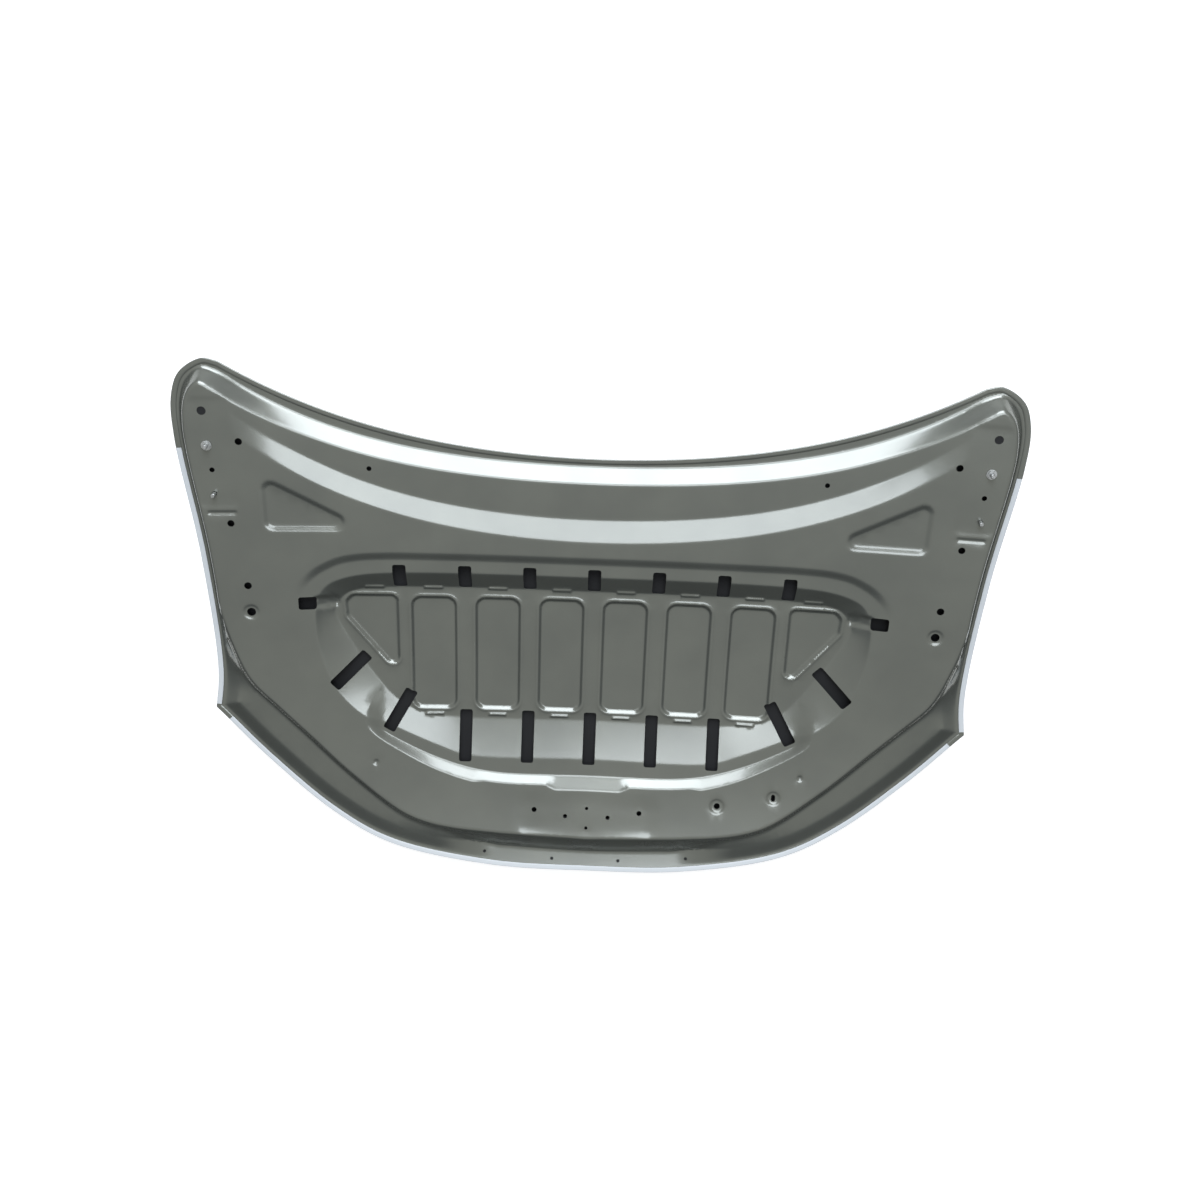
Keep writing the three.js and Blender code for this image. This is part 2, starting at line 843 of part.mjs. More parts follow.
// Points of the skin inside its fold, closer together near the edge
function skinInterior(loop) {
  const kept = [...loop.map((p) => p.clone()), at(0, crownY)];
  const add = (p, gap) => {
    if (inside(loop, p.x, p.y) && kept.every((q) => q.distanceTo(p) > gap)) kept.push(p);
  };
  [22, 46].forEach((distance) => inset(outline, distance, true).forEach((p) => add(p, 16)));
  const rows = Math.ceil((cornerY - noseY) / skinPitch);
  const columns = Math.ceil(halfTail / skinPitch);
  for (let row = 0; row <= rows; row += 1) {
    for (let column = -columns; column <= columns; column += 1) {
      add(at((column + (row % 2) * 0.5) * skinPitch, noseY + row * skinPitch), 0.55 * skinPitch);
    }
  }
  return kept;
}

// Two faces over the interior points, joined by the rings of the fold
function skinSolid(rings, interior) {
  const n = outline.length;
  const loop = rings[0].loop;
  const inner = interior.slice(n);
  const vertices = [];
  const place = (points, lift) => {
    points.forEach((p) => vertices.push(p.x, p.y, crown(p.x, p.y) + lift));
  };
  rings.forEach((fold) => place(fold.loop, fold.lift));
  place(inner, 0);
  place(inner, skinThickness);
  const faces = [];
  const topLoop = (rings.length - 1) * n;
  const low = (k) => (k < n ? k : rings.length * n + k - n);
  const high = (k) => (k < n ? topLoop + k : rings.length * n + inner.length + k - n);
  triangulate(interior).forEach(([a, b, c]) => {
    const x = (interior[a].x + interior[b].x + interior[c].x) / 3;
    const y = (interior[a].y + interior[b].y + interior[c].y) / 3;
    if (!inside(loop, x, y)) return;
    faces.push(low(a), low(c), low(b), high(a), high(b), high(c));
  });
  for (let i = 0; i < n; i += 1) {
    const j = (i + 1) % n;
    for (let k = 0; k + 1 < rings.length; k += 1) {
      const a = k * n;
      const b = a + n;
      faces.push(a + i, a + j, b + j, a + i, b + j, b + i);
    }
  }
  return new Manifold(
    new Mesh({ numProp: 3, vertProperties: new Float32Array(vertices), triVerts: new Uint32Array(faces) }),
  );
}

// A slab over a plan outline, between two height functions
function slab(loop, low, high, holes = []) {
  const triangles = THREE.ShapeUtils.triangulateShape(loop, holes);
  const points = [loop, ...holes].flat();
  const n = points.length;
  const vertices = new Float32Array(n * 6);
  points.forEach((p, i) => {
    vertices.set([p.x, p.y, low(p.x, p.y)], i * 3);
    vertices.set([p.x, p.y, high(p.x, p.y)], (n + i) * 3);
  });
  const faces = [];
  const edges = new Map();
  triangles.forEach(([a, b, c]) => {
    faces.push(n + a, n + b, n + c, a, c, b);
    [[a, b], [b, c], [c, a]].forEach(([p, q]) => {
      if (!edges.delete(`${q} ${p}`)) edges.set(`${p} ${q}`, [p, q]);
    });
  });
  edges.forEach(([p, q]) => faces.push(p, q, n + q, p, n + q, n + p));
  return new Manifold(new Mesh({ numProp: 3, vertProperties: vertices, triVerts: new Uint32Array(faces) }));
}

function plateUnder(plane, loop, thickness, holes) {
  const high = (x, y) => plane.under(x, y) - clearance;
  const low = (x, y) => high(x, y) - thickness / plane.normal.z;
  const drills = holes.map((hole) => hole.map((p) => p.clone()).reverse());
  return slab(loop, low, high, drills);
}

function hingePlate(side) {
  const plane = side > 0 ? hingeSeats.right : hingeSeats.left;
  const loop = cornerCut(box(side * hingeX, hingeY, hingeWidth - 4, hingeLength - 6), 6);
  const holes = [
    ring(side * rearStudX, rearStudY, studRadius + studClearance),
    ring(side * frontStudX, frontStudY, studRadius + studClearance),
    ring(side * toolHoleX, toolHoleY, 5.5),
  ];
  return plateUnder(plane, loop, hingePlateThickness, holes);
}

function strikerPlate() {
  const loop = cornerCut(box(0, strikerY, strikerPlateWidth, strikerPlateLength), 8);
  const holes = [
    ring(strikerBoltX, strikerBoltY, strikerBoltRadius + clearance),
    ring(-strikerBoltX, strikerBoltY, strikerBoltRadius + clearance),
    ring(strikerHoleX, strikerHoleY, 6),
    ring(-strikerHoleX, strikerHoleY, 6),
    ring(0, locatingHoles[0], 4),
    ring(0, locatingHoles[1], 4),
  ];
  return plateUnder(strikerSeat, loop, strikerPlateThickness, holes);
}

// A weld stud: flat head under the plate, shank through both sheets
function studGeometry() {
  const foot = -hingePlateThickness - 2 * clearance;
  const profile = [
    at(0, foot - studHeadThickness),
    at(studHeadRadius - 0.6, foot - studHeadThickness),
    at(studHeadRadius, foot - studHeadThickness + 0.6),
    at(studHeadRadius, foot),
    at(studRadius, foot),
    at(studRadius, studHeight - 1.2),
    at(studRadius - 1.1, studHeight),
    at(0, studHeight),
  ];
  const geometry = new THREE.LatheGeometry(profile, 12);
  geometry.rotateX(Math.PI / 2);
  return geometryOf(solidOf(geometry));
}

// A flange nut with a plain bore
function nutGeometry() {
  const hex = ring(0, 0, nutAcrossFlats / Math.sqrt(3), 6);
  const body = prism(hex, 0.5, nutHeight);
  const flange = prism(ring(0, 0, nutFlangeRadius, 16), 0, nutFlangeThickness);
  const bore = prism(ring(0, 0, studRadius + clearance, 12), -1, nutHeight + 1);
  return geometryOf(body.add(flange).subtract(bore));
}

function weldNutGeometry() {
  const block = cornerCut(box(0, 0, weldNutAcross, weldNutAcross), 2);
  const bore = prism(ring(0, 0, strikerBoltRadius, 12), -weldNutHeight - 1, 1);
  return geometryOf(prism(block, -weldNutHeight, 0).subtract(bore));
}

// Placing
function addMesh(name, geometry, look, parent = bonnet) {
  const mesh = new THREE.Mesh(geometry, new THREE.MeshStandardMaterial(look));
  mesh.name = name;
  parent.add(mesh);
  return mesh;
}

function standOn(mesh, plane, x, y, lift) {
  const up = new THREE.Vector3(0, 0, 1);
  mesh.quaternion.setFromUnitVectors(up, plane.normal);
  mesh.position.set(x, y, plane.under(x, y));
  mesh.position.addScaledVector(plane.normal, lift);
}

function addHingeParts(side, word) {
  const plane = side > 0 ? hingeSeats.right : hingeSeats.left;
  addMesh(`hinge_reinforcement_${word}`, geometryOf(hingePlate(side)), greyPaint);
  const rear = addMesh(`hinge_stud_rear_${word}`, studGeometry(), zinc);
  standOn(rear, plane, side * rearStudX, rearStudY, 0);
  const front = addMesh(`hinge_stud_front_${word}`, studGeometry(), zinc);
  standOn(front, plane, side * frontStudX, frontStudY, 0);
  const nut = addMesh(`hinge_nut_${word}`, nutGeometry(), zinc);
  standOn(nut, plane, side * rearStudX, rearStudY, panelThickness + clearance);
}

function addStrikerParts() {
  addMesh("striker_reinforcement", geometryOf(strikerPlate()), greyPaint);
  const depth = 2 * clearance + strikerPlateThickness;
  [["left", -1], ["right", 1]].forEach(([word, side]) => {
    const nut = addMesh(`striker_weld_nut_${word}`, weldNutGeometry(), zinc);
    standOn(nut, strikerSeat, side * strikerBoltX, strikerBoltY, -depth);
  });
}

// Mastic pads bond the recessed fields to the outer skin.
function addMasticPads() {
  const places = [-2.5, -1.5, -0.5, 0.5, 1.5, 2.5].map((k) => at(k * fieldPitch, masticY));
  const endPlace = at(endMasticX, endMasticY);
  const all = [at(-endPlace.x, endPlace.y), ...places, endPlace];
  all.forEach((place, i) => {
    const loop = ring(0, 0, 1, 16).map((p) => {
      return at(place.x + p.x * masticHalfLength, place.y + p.y * masticHalfWidth);
    });
    const low = (x, y) => skinTop(x, y) + 2 * clearance;
    const high = (x, y) => panelUnder(x, y, fieldLevel) - clearance;
    addMesh(`mastic_pad_${i + 1}`, geometryOf(slab(loop, low, high)), mastic);
  });
}

addMesh("outer_skin", geometryOf(outerSkin()), greyPaint);
addMesh("inner_panel", geometryOf(innerPanel()), greyPaint);
addHingeParts(1, "right");
addHingeParts(-1, "left");
addStrikerParts();
addMasticPads();

// The origin is under the middle of the bonnet, on the surface that it lies on.
const depths = outline.map((p) => p.y);
bonnet.position.y = -(Math.min(...depths) + Math.max(...depths)) / 2;

export default bonnet;
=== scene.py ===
# %% [markdown]
# # A steel car bonnet, seen from its inner side
#
# The bonnet lies on the crown of its outer skin, so its pressed inner panel faces up.
# The CAD solids are the fixed frame. Their faces are few, so each sheet is made again here
# with fine faces, from the same sizes and the same curves, and stands in for its solid.
# The small parts are right as they are and only get their finish.

import bpy
import numpy as np
from mathutils import Matrix, Vector
from mathutils.geometry import delaunay_2d_cdt


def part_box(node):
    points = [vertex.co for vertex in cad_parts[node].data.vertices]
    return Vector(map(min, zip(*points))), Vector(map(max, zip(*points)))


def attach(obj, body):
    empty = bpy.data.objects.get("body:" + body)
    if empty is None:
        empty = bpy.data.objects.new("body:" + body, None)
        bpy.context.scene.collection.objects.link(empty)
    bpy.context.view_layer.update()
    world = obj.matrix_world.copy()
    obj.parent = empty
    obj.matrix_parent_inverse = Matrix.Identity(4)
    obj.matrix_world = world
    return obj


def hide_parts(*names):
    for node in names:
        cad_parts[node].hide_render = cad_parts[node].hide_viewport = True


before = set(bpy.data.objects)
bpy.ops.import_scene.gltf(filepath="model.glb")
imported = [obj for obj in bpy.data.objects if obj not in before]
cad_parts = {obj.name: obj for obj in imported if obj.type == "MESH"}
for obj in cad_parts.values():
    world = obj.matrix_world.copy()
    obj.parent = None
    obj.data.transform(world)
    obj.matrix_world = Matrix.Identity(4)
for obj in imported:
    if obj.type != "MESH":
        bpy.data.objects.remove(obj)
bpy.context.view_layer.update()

# %% [markdown]
# ## The same sizes as the source
#
# A pressed panel is drawn by its feature lines: where each wall starts and where it ends.
# All sizes are in millimetres, in the same axes as the CAD, with Y counted from its datum.

# %% Sizes
half_tail, half_shoulder, half_waist = 764, 735, 727
nose_y, shoulder_y, waist_y, tail_y = -523, -193, -120, 355
corner_x, corner_y = 700, 485
dip_y, rear_rise, rear_curl = 317, 152, 72
skin_thickness, panel_thickness, clearance = 0.8, 0.7, 0.3
hem_width, panel_inset = 10, 2.6
main_level, ring_level, shelf_level, ledge_level = 30, 25, 20, 20
pan_level, band_level, band_foot_level = 9, 22, 14
MM = 0.001

low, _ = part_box("outer_skin")
datum = np.array([0, low[1] / MM - nose_y, 0])
print("datum shift in mm", datum.round(2))

# %% [markdown]
# ## Curves in plan
#
# Each feature line runs through a few points, as a draughtsman's spline does. Blender's own
# curves could draw them, but the heights below need plain arrays of points. A centripetal
# Catmull-Rom curve never loops between its points, and the CAD uses the same one.


# %% Curves
def smooth_line(points, pitch=7.0):
    """An open curve through the points, with even steps."""
    p = np.array(points, float)
    p = np.vstack([2 * p[0] - p[1], p, 2 * p[-1] - p[-2]])
    t = np.linspace(0, 1, 40, endpoint=False)[:, None]
    spans = []
    for a, b, c, d in zip(p, p[1:], p[2:], p[3:]):
        before, here, after = (np.linalg.norm(v - u) ** 0.5 for u, v in ((a, b), (b, c), (c, d)))
        leave = ((b - a) / before - (c - a) / (before + here) + (c - b) / here) * here
        arrive = ((c - b) / here - (d - b) / (here + after) + (d - c) / after) * here
        start = (2 * t**3 - 3 * t**2 + 1) * b + (t**3 - 2 * t**2 + t) * leave
        spans.append(start + (3 * t**2 - 2 * t**3) * c + (t**3 - t**2) * arrive)
    return even_steps(np.vstack([*spans, p[-2:-1]]), pitch)


def even_steps(line, pitch, closed=False):
    """The same line with points at one distance from each other."""
    if closed:
        line = np.vstack([line, line[:1]])
    run = np.r_[0, np.cumsum(np.linalg.norm(np.diff(line, axis=0), axis=1))]
    places = np.linspace(0, run[-1], max(2, round(run[-1] / pitch)) + 1)
    even = np.c_[np.interp(places, run, line[:, 0]), np.interp(places, run, line[:, 1])]
    return even[:-1] if closed else even


def both_sides(half):
    """A half line from the centre outwards becomes a whole line from left to right."""
    half = np.array(half, float)
    return np.vstack([half[:0:-1] * [-1, 1], half])


def whole_loop(half):
    """A half loop from the rear centre to the front centre becomes a loop, counter-clockwise."""
    half = np.array(half, float)
    loop = np.vstack([half, half[-2:0:-1] * [-1, 1]])
    return loop[::-1]


def beside(line, distance, closed=False):
    """Each point moves to its left, which is inwards on a counter-clockwise loop."""
    if closed:
        way = np.roll(line, -1, 0) - np.roll(line, 1, 0)
    else:
        way = np.gradient(line, axis=0)
    way /= np.linalg.norm(way, axis=1)[:, None]
    distance = np.asarray(distance, float)
    return line + np.c_[-way[:, 1], way[:, 0]] * (distance[:, None] if distance.ndim else distance)


def bowed(x, y, rise, curl):
    """Y of a line across the bonnet that bends back towards both tail corners."""
    share = x / half_tail
    return y + rise * share**2 + curl * share**4


print("points on a line of 70 mm", len(smooth_line([[0, 0], [70, 0]])))

# %% [markdown]
# ## The outline
#
# The front edge is one wide bow with a corner at each shoulder. The sides pull in a little,
# and the rear edge follows the windscreen between two rounded tails. The bow is given in
# shares of its width and depth, so that it keeps its form when a size changes.

# %% Outline
def outline_loop():
    drop, reach = corner_y - tail_y, half_tail - corner_x
    bow = [[0, 0], [0.27, 0.02], [0.54, 0.142], [0.7, 0.34], [0.87, 0.675], [1, 1]]
    front = both_sides([[u * half_shoulder, nose_y + v * (shoulder_y - nose_y)] for u, v in bow])
    end_x = corner_x - 26
    side = [
        [half_shoulder, shoulder_y],
        [half_waist, waist_y],
        [half_waist + 0.33 * (half_tail - half_waist), (waist_y + tail_y) / 2],
        [half_tail - 2, tail_y - 0.12 * drop],
        [half_tail - 0.08 * reach, tail_y + 0.46 * drop],
        [half_tail - 0.36 * reach, tail_y + 0.8 * drop],
        [corner_x, corner_y - 1],
        [end_x, bowed(end_x, dip_y, rear_rise, rear_curl)],
    ]
    side = smooth_line(side)
    x = np.linspace(end_x, -end_x, 200)
    rear = even_steps(np.c_[x, bowed(x, dip_y, rear_rise, rear_curl)], 7)
    left = side[::-1] * [-1, 1]
    return np.vstack([smooth_line(front), side[1:], rear[1:], left[1:-1]])


outline = outline_loop()
print("outline points", len(outline), "width", np.ptp(outline[:, 0]).round(1))

# %% [markdown]
# ## Heights
#
# The outer skin is crowned to the sides, to the nose and a little to the tail. The panel's
# height is that crown plus a level, and the level is built from soft ramps. A ramp is what
# a press leaves between two flat faces: a straight wall with a radius at its top and foot.
# A displacement map could do this too, but a formula for the height is exact at each point.


# %% Height helpers
side_crown, nose_crown, tail_crown = 62, 84, 22


def crown(x, y):
    """Height of the outer skin's outer face."""
    side = side_crown * (abs(x) / half_tail) ** 2.2
    nose = nose_crown * (np.maximum(0, -y) / -nose_y) ** 2.4
    return side + nose + tail_crown * (np.maximum(0, y) / corner_y) ** 2


def soft_ramp(depth, width, radius):
    """0 before the wall, 1 after it, with a radius at both ends."""

    def bend(u):
        return np.where(u < -radius, 0, np.where(u > radius, u, (u + radius) ** 2 / (4 * radius)))

    return (bend(depth) - bend(depth - width)) / width


def share_between(value, start, end):
    """0 before the start, 1 after the end, even between them."""
    return np.clip((value - start) / (end - start), 0, 1)


def fade(value, start, end):
    """The same share with a soft start and a soft end."""
    t = share_between(value, start, end)
    return t * t * (3 - 2 * t)


def depth_inside(loop, x, y):
    """Distance from the loop, positive inside it."""
    ax, ay = loop.T
    bx, by = np.roll(loop, -1, 0).T
    ex, ey = bx - ax, by - ay
    square = ex**2 + ey**2 + 1e-12
    slope = ex / np.where(ey == 0, 1, ey)
    depth = np.empty(len(x))
    for k in range(0, len(x), 3000):
        px, py = x[k : k + 3000, None] - ax, y[k : k + 3000, None] - ay
        t = np.clip((px * ex + py * ey) / square, 0, 1)
        near = ((px - t * ex) ** 2 + (py - t * ey) ** 2).min(1)
        crossed = ((py < 0) != (py < ey)) & (px < py * slope)
        odd = crossed.sum(1) % 2 == 1
        depth[k : k + 3000] = np.where(odd, 1, -1) * np.sqrt(near)
    return depth


def depth_in_box(x, y, centre, half, radius, turn=0.0):
    """Depth inside a rounded box turned by some degrees."""
    c, s = np.cos(np.radians(turn)), np.sin(np.radians(turn))
    u, v = x - centre[0], y - centre[1]
    qx = abs(u * c + v * s) - half[0] + radius
    qy = abs(v * c - u * s) - half[1] + radius
    outside = np.hypot(np.maximum(qx, 0), np.maximum(qy, 0))
    return radius - outside - np.minimum(np.maximum(qx, qy), 0)


def wall_share(top, foot, x, y, radius):
    """0 outside the top loop, 1 inside the foot loop, a soft wall between them."""
    down = depth_inside(top, x, y)
    width = np.maximum(down - depth_inside(foot, x, y), 2.2 * radius)
    return soft_ramp(down, width, radius)


print("crown at the shoulder", crown(half_shoulder, shoulder_y).round(1))

# %% [markdown]
# ## Feature lines of the panel
#
# A wall needs two lines: one where it starts and one where it ends. They are the rear steps,
# the wall all round the rim, the oval ring, the pan and the ledge in front of it. The numbers
# are places on the real panel, counted from its centre.


# %% Rear steps and rim wall
def rear_line(x, places, step):
    """A bowed rear line over the places, with its Y moved back by a step."""
    return [[u, bowed(u, *places) + step] for u in x]


step_foot, shelf_front, shelf_back = (161, 171, 127), (204, 152, 146), (274, 105, 123)
valley = [
    [0, -447], [200, -438], [297, -426], [364, -403], [470, -322], [554, -239], [607, -184],
    [657, -127], [687, -50],
]


def side_points(distance):
    """The outline between the waist and the tail, moved inwards."""
    line = beside(outline, distance, True)
    wanted = (line[:, 0] > 0) & (line[:, 1] > 25) & (line[:, 1] < tail_y + 30)
    return line[wanted & (line[:, 0] > 660)][::6].tolist()


def rim_loop(front, corner, distance, step):
    """Rim wall line, as a loop: along the front, up the side, round the tail, along the rear."""
    half = [*front, *side_points(distance), *corner]
    half += rear_line(np.arange(680, 0, -40), shelf_back, step)
    half.append([0, bowed(0, *shelf_back) + step])
    half = smooth_line(half, 6.0)
    return np.vstack([half, half[-2:0:-1] * [-1, 1]])


seat_end, band_start = 190, 300
valley_wall, wider_at_seat = 10, 28


def from_seat(x):
    """0 in front of the latch seat, 1 from where the front band starts."""
    return share_between(abs(x), seat_end, band_start)


across_valley = smooth_line(both_sides(valley), 6.0)
outer_valley = beside(across_valley, -valley_wall - wider_at_seat * (1 - from_seat(across_valley[:, 0])))
front_foot = outer_valley[outer_valley[:, 0] >= 0][::6].tolist()
top_corner, foot_corner = [[729, 408], [718, 432], [701, 445]], [[743, 412], [730, 447], [706, 468]]
rim_top = rim_loop([*valley, [700, 5]], top_corner, 28, 0)
rim_foot = rim_loop([[0, -485], *front_foot[1:], [712, 3]], foot_corner, 16, 27)
print("rim wall loops", len(rim_top), len(rim_foot))


# %% Ring and pan
def closed_in_front(line):
    """An open line becomes a loop that closes far in front of the nose, so it has an inside."""
    far_y, spread = -1500, 300
    far = [[line[-1, 0] + spread, far_y], [line[0, 0] - spread, far_y]]
    return np.vstack([line, far])[::-1]


ring_wall = 14
ring_shape = [
    [0, 130], [300, 131], [390, 131], [446, 128], [483, 121], [507, 111], [531, 97], [555, 76],
    [574, 50],
]
ring_outer = smooth_line(both_sides(ring_shape))
ring_inner = beside(ring_outer, -ring_wall)

pan_top = whole_loop(
    smooth_line(
        [
            [0, 90], [390, 89], [448, 84], [481, 76], [505, 65], [522, 46], [531, 12], [530, -40],
            [520, -90], [498, -148], [455, -196], [405, -222], [305, -268], [245, -289], [0, -292],
        ]
    )
)
pan_foot = whole_loop(
    smooth_line(
        [
            [0, 57], [384, 57], [448, 52], [480, 38], [497, 10], [492, -14], [477, -42], [443, -100],
            [385, -175], [335, -203], [250, -213], [0, -213],
        ]
    )
)
print("ring points", len(ring_outer), "pan points", len(pan_top))

# %% Ledge, whose wall is wide behind the latch and narrow elsewhere
ledge_wall = 25
ledge_foot = smooth_line(both_sides([[0, -325], [200, -322], [305, -294], [404, -245], [438, -221]]))
across = abs(ledge_foot[:, 0])
pad = 1 - share_between(across, 66, 86)
outer = share_between(across, 205, 225) * (1 - share_between(across, 300, 430))
narrow = 1 - 0.35 * share_between(across, 225, 430)
ledge_top = beside(ledge_foot, -ledge_wall * narrow * (0.55 + 0.45 * np.maximum(pad, 0.6 * outer)))
print("ledge points", len(ledge_foot), "reach of its top line in Y", np.ptp(ledge_top[:, 1]).round(1))


# %% [markdown]
# ## The panel's level
#
# The level is worked out in the order in which a press tool would be described: rear shelf,
# ring, ledge, pan, fields and embosses, then the wall and the band round the rim. Each step
# is a share from 0 to 1 between two levels, so walls that meet blend and never overlap.


# %% Rear level
def bowed_depth(x, y, line):
    """Distance behind a bowed line across the bonnet."""
    at_x = bowed(x, *line)
    slope = (bowed(x + 1, *line) - bowed(x - 1, *line)) / 2
    return (y - at_x) / np.hypot(1, slope)


shelf_ends = (500, 690)


def rear_level(x, y):
    """The main face with the step down to the rear shelf, which runs out at its two ends."""
    before, behind = bowed_depth(x, y, step_foot), bowed_depth(x, y, shelf_front)
    slope = soft_ramp(before, np.maximum(before - behind, 8), 2.5)
    return main_level - (main_level - shelf_level) * slope * (1 - fade(abs(x), *shelf_ends))


print("level of the shelf at its centre", rear_level(np.zeros(1), np.array([230.0])).round(1))


# %% Rounded shapes
def shrunk(loop, distance):
    """A convex counter-clockwise loop with each side moved inwards."""
    way = np.roll(loop, -1, 0) - loop
    way = way / np.linalg.norm(way, axis=1)[:, None]
    start = loop + np.c_[-way[:, 1], way[:, 0]] * distance
    corners = []
    for k in range(len(loop)):
        run = np.cross(start[k] - start[k - 1], way[k]) / np.cross(way[k - 1], way[k])
        corners.append(start[k - 1] + run * way[k - 1])
    return np.array(corners)


def depth_in_rounded(loop, radius, x, y):
    """Depth inside a loop whose corners are rounded to the radius."""
    return depth_inside(shrunk(loop, radius), x, y) + radius


# %% Fields, beads and run-outs of the pan
field_pitch, field_half, field_back, field_front = 124, 44, 38, -196
field_places = [(k * field_pitch, (field_back + field_front) / 2) for k in np.arange(-2.5, 3)]
field_size = (field_half, (field_back - field_front) / 2)
field_drop, field_wall, field_radius = 3.5, 4.5, 20
border_height, border_width = 1.3, 7
end_corners = np.array([[378, 41], [378, -129], [477, -5], [479, 28], [466, 41]], float)
end_radius = 14
bead_length, bead_width, bead_height = 38, 7, 2.0
run_out_box, run_out_drop = ((512, 29), (24, 13), 9), 4


def bead(x, y, centre):
    """A short raised bead with round ends."""
    depth = depth_in_box(x, y, centre, (bead_length / 2, bead_width / 2), bead_width / 2 - 0.5)
    return bead_height * soft_ramp(depth + 0.5, 2.6, 0.8)


bead_places = [(field_pitch * k, 57) for k in (0.5, 1.5, 2.5, 3.4)]
bead_places += [(field_pitch * k, -207) for k in (0.5, 1.5, 2.5)]


def pan_features(x, y, level):
    side_x = abs(x)
    field = depth_in_rounded(end_corners, end_radius, side_x, y)
    for place in field_places:
        field = np.maximum(field, depth_in_box(x, y, place, field_size, field_radius))
    border = soft_ramp(field + border_width, 4, 1.5) * (1 - soft_ramp(field, 3, 1))
    level = level + border_height * border - field_drop * soft_ramp(field, field_wall, 1.2)
    for place in bead_places:
        level = level + bead(side_x, y, place)
    return level - run_out_drop * soft_ramp(depth_in_box(side_x, y, *run_out_box), 5, 2)


print("fields", len(field_places) + 2, "beads", 2 * len(bead_places))

# %% Embosses, grooves and dimples
emboss_corners = np.array([[613, 172], [613, 280], [412, 172]], float)
emboss_radius, emboss_drop, emboss_wall = 18, 4, 9
groove_centre, groove_half, groove_drop = (683, 207), (27, 5), 1.6
paired_from = 400
dimples = [
    ((648, 12), 16, 1.6), ((262, -369), 16, 2.0), ((373, -345), 15, 2.0), ((423, -300), 7, 2.0),
    ((0, -386), 6, 2.2), ((0, -425), 6, 2.2),
]


def side_features(x, y, level):
    """Dimples further out than paired_from are there on both sides, the others once."""
    side_x = abs(x)
    depth = depth_in_rounded(emboss_corners, emboss_radius, side_x, y)
    level = level - emboss_drop * soft_ramp(depth, emboss_wall, 3.5)
    groove = depth_in_box(side_x, y, groove_centre, groove_half, 4.5)
    level = level - groove_drop * soft_ramp(groove, 4, 1.6)
    for place, radius, drop in dimples:
        depth = radius - np.hypot((x if place[0] < paired_from else side_x) - place[0], y - place[1])
        level = level - drop * soft_ramp(depth, 5, 2)
    return level


print("dimples in the list", len(dimples))

# %% Ring, ledge and all levels together
ring_ends, ring_start, ring_radius = (515, 575), (-120, 60), 3.5
ledge_ends, ledge_start, ledge_radius = (405, 445), (-200, -120), 1.6
pan_radius = 2


def with_ring(x, y, level):
    """The face inside the ring is lower. Its ends run out at the sides and in front."""
    ring = wall_share(closed_in_front(ring_outer), closed_in_front(ring_inner), x, y, ring_radius)
    ring_fade = (1 - fade(abs(x), *ring_ends)) * fade(y, *ring_start)
    return level - (main_level - ring_level) * ring * ring_fade


def with_ledge(x, y, level):
    """A low ledge in front of the pan. Its loops close inside the pan, where they don't show."""
    inside_pan = [[445, -205], [400, -120], [-400, -120], [-445, -205]]
    top = np.vstack([ledge_top[:-1], inside_pan])
    foot = np.vstack([ledge_foot[:-1], inside_pan])
    ledge = wall_share(top, foot, x, y, ledge_radius)
    ledge_fade = (1 - fade(y, *ledge_start)) * (1 - fade(abs(x), *ledge_ends))
    return level - (main_level - ledge_level) * ledge * ledge_fade


def panel_level(x, y):
    level = with_ledge(x, y, with_ring(x, y, rear_level(x, y)))
    share = wall_share(pan_top, pan_foot, x, y, pan_radius)
    level = level * (1 - share) + pan_level * share
    level = pan_features(x, y, level)
    level = side_features(x, y, level)
    level = flat_seats(x, y, level)
    return rim_level(x, y, level)


# %% [markdown]
# ## Flat seats
#
# A hinge and a latch need a flat face, so the crown stops there. Each seat is the plane that
# touches the panel at the seat's centre. It is blended in over a few millimetres, as the
# press does, because a hard cut would leave a line that the real panel doesn't have.

# %% Seats
hinge_centre, hinge_half = (686, 318), (28, 94)
striker_centre, striker_half = (0, -400), (130, 32)
seat_radius, seat_margin, seat_blend = 6, 9, 8


def seat_plane(centre):
    """Height of the seat's centre and its two slopes."""
    cx, cy = centre
    slope_x = (crown(cx + 1, cy) - crown(cx - 1, cy)) / 2
    slope_y = (crown(cx, cy + 1) - crown(cx, cy - 1)) / 2
    base = crown(cx, cy) + skin_thickness + clearance + main_level
    return base, slope_x, slope_y


def flat_seats(x, y, level):
    for centre, half in ((hinge_centre, hinge_half), (striker_centre, striker_half)):
        base, slope_x, slope_y = seat_plane(centre)
        side_x = abs(x) if centre[0] else x
        plane = base + slope_x * (side_x - centre[0]) + slope_y * (y - centre[1])
        plane = plane - crown(x, y) - skin_thickness - clearance
        depth = depth_in_box(side_x, y, centre, half, seat_radius)
        share = soft_ramp(depth + seat_margin, seat_blend, 3)
        level = level * (1 - share) + plane * share
    return level


print("hinge seat: height and slopes", np.round(seat_plane(hinge_centre), 3))

# %% Rim wall, front band and flange
flange_width, rim_radius = 15, 2.5
band_at_front, band_at_side = 29, 12
band_narrows, band_ends = (-160, -40), (10, 60)


def rim_level(x, y, level):
    """The wall round the rim, with the front band and the flange outside it."""
    edge = depth_inside(outline, x, y) - flange_width
    outside = np.maximum(-depth_inside(rim_foot, x, y), 0)
    width = band_at_front - (band_at_front - band_at_side) * fade(y, *band_narrows)
    slope = np.maximum(edge - width, 0)
    slope = slope / np.maximum(slope + outside, 1)
    band = band_foot_level * soft_ramp(edge, width, 3) + (band_level - band_foot_level) * slope
    band = band * from_seat(x) * (1 - fade(y, *band_ends))
    share = wall_share(rim_foot, rim_top, x, y, rim_radius)
    return level * share + band * (1 - share)


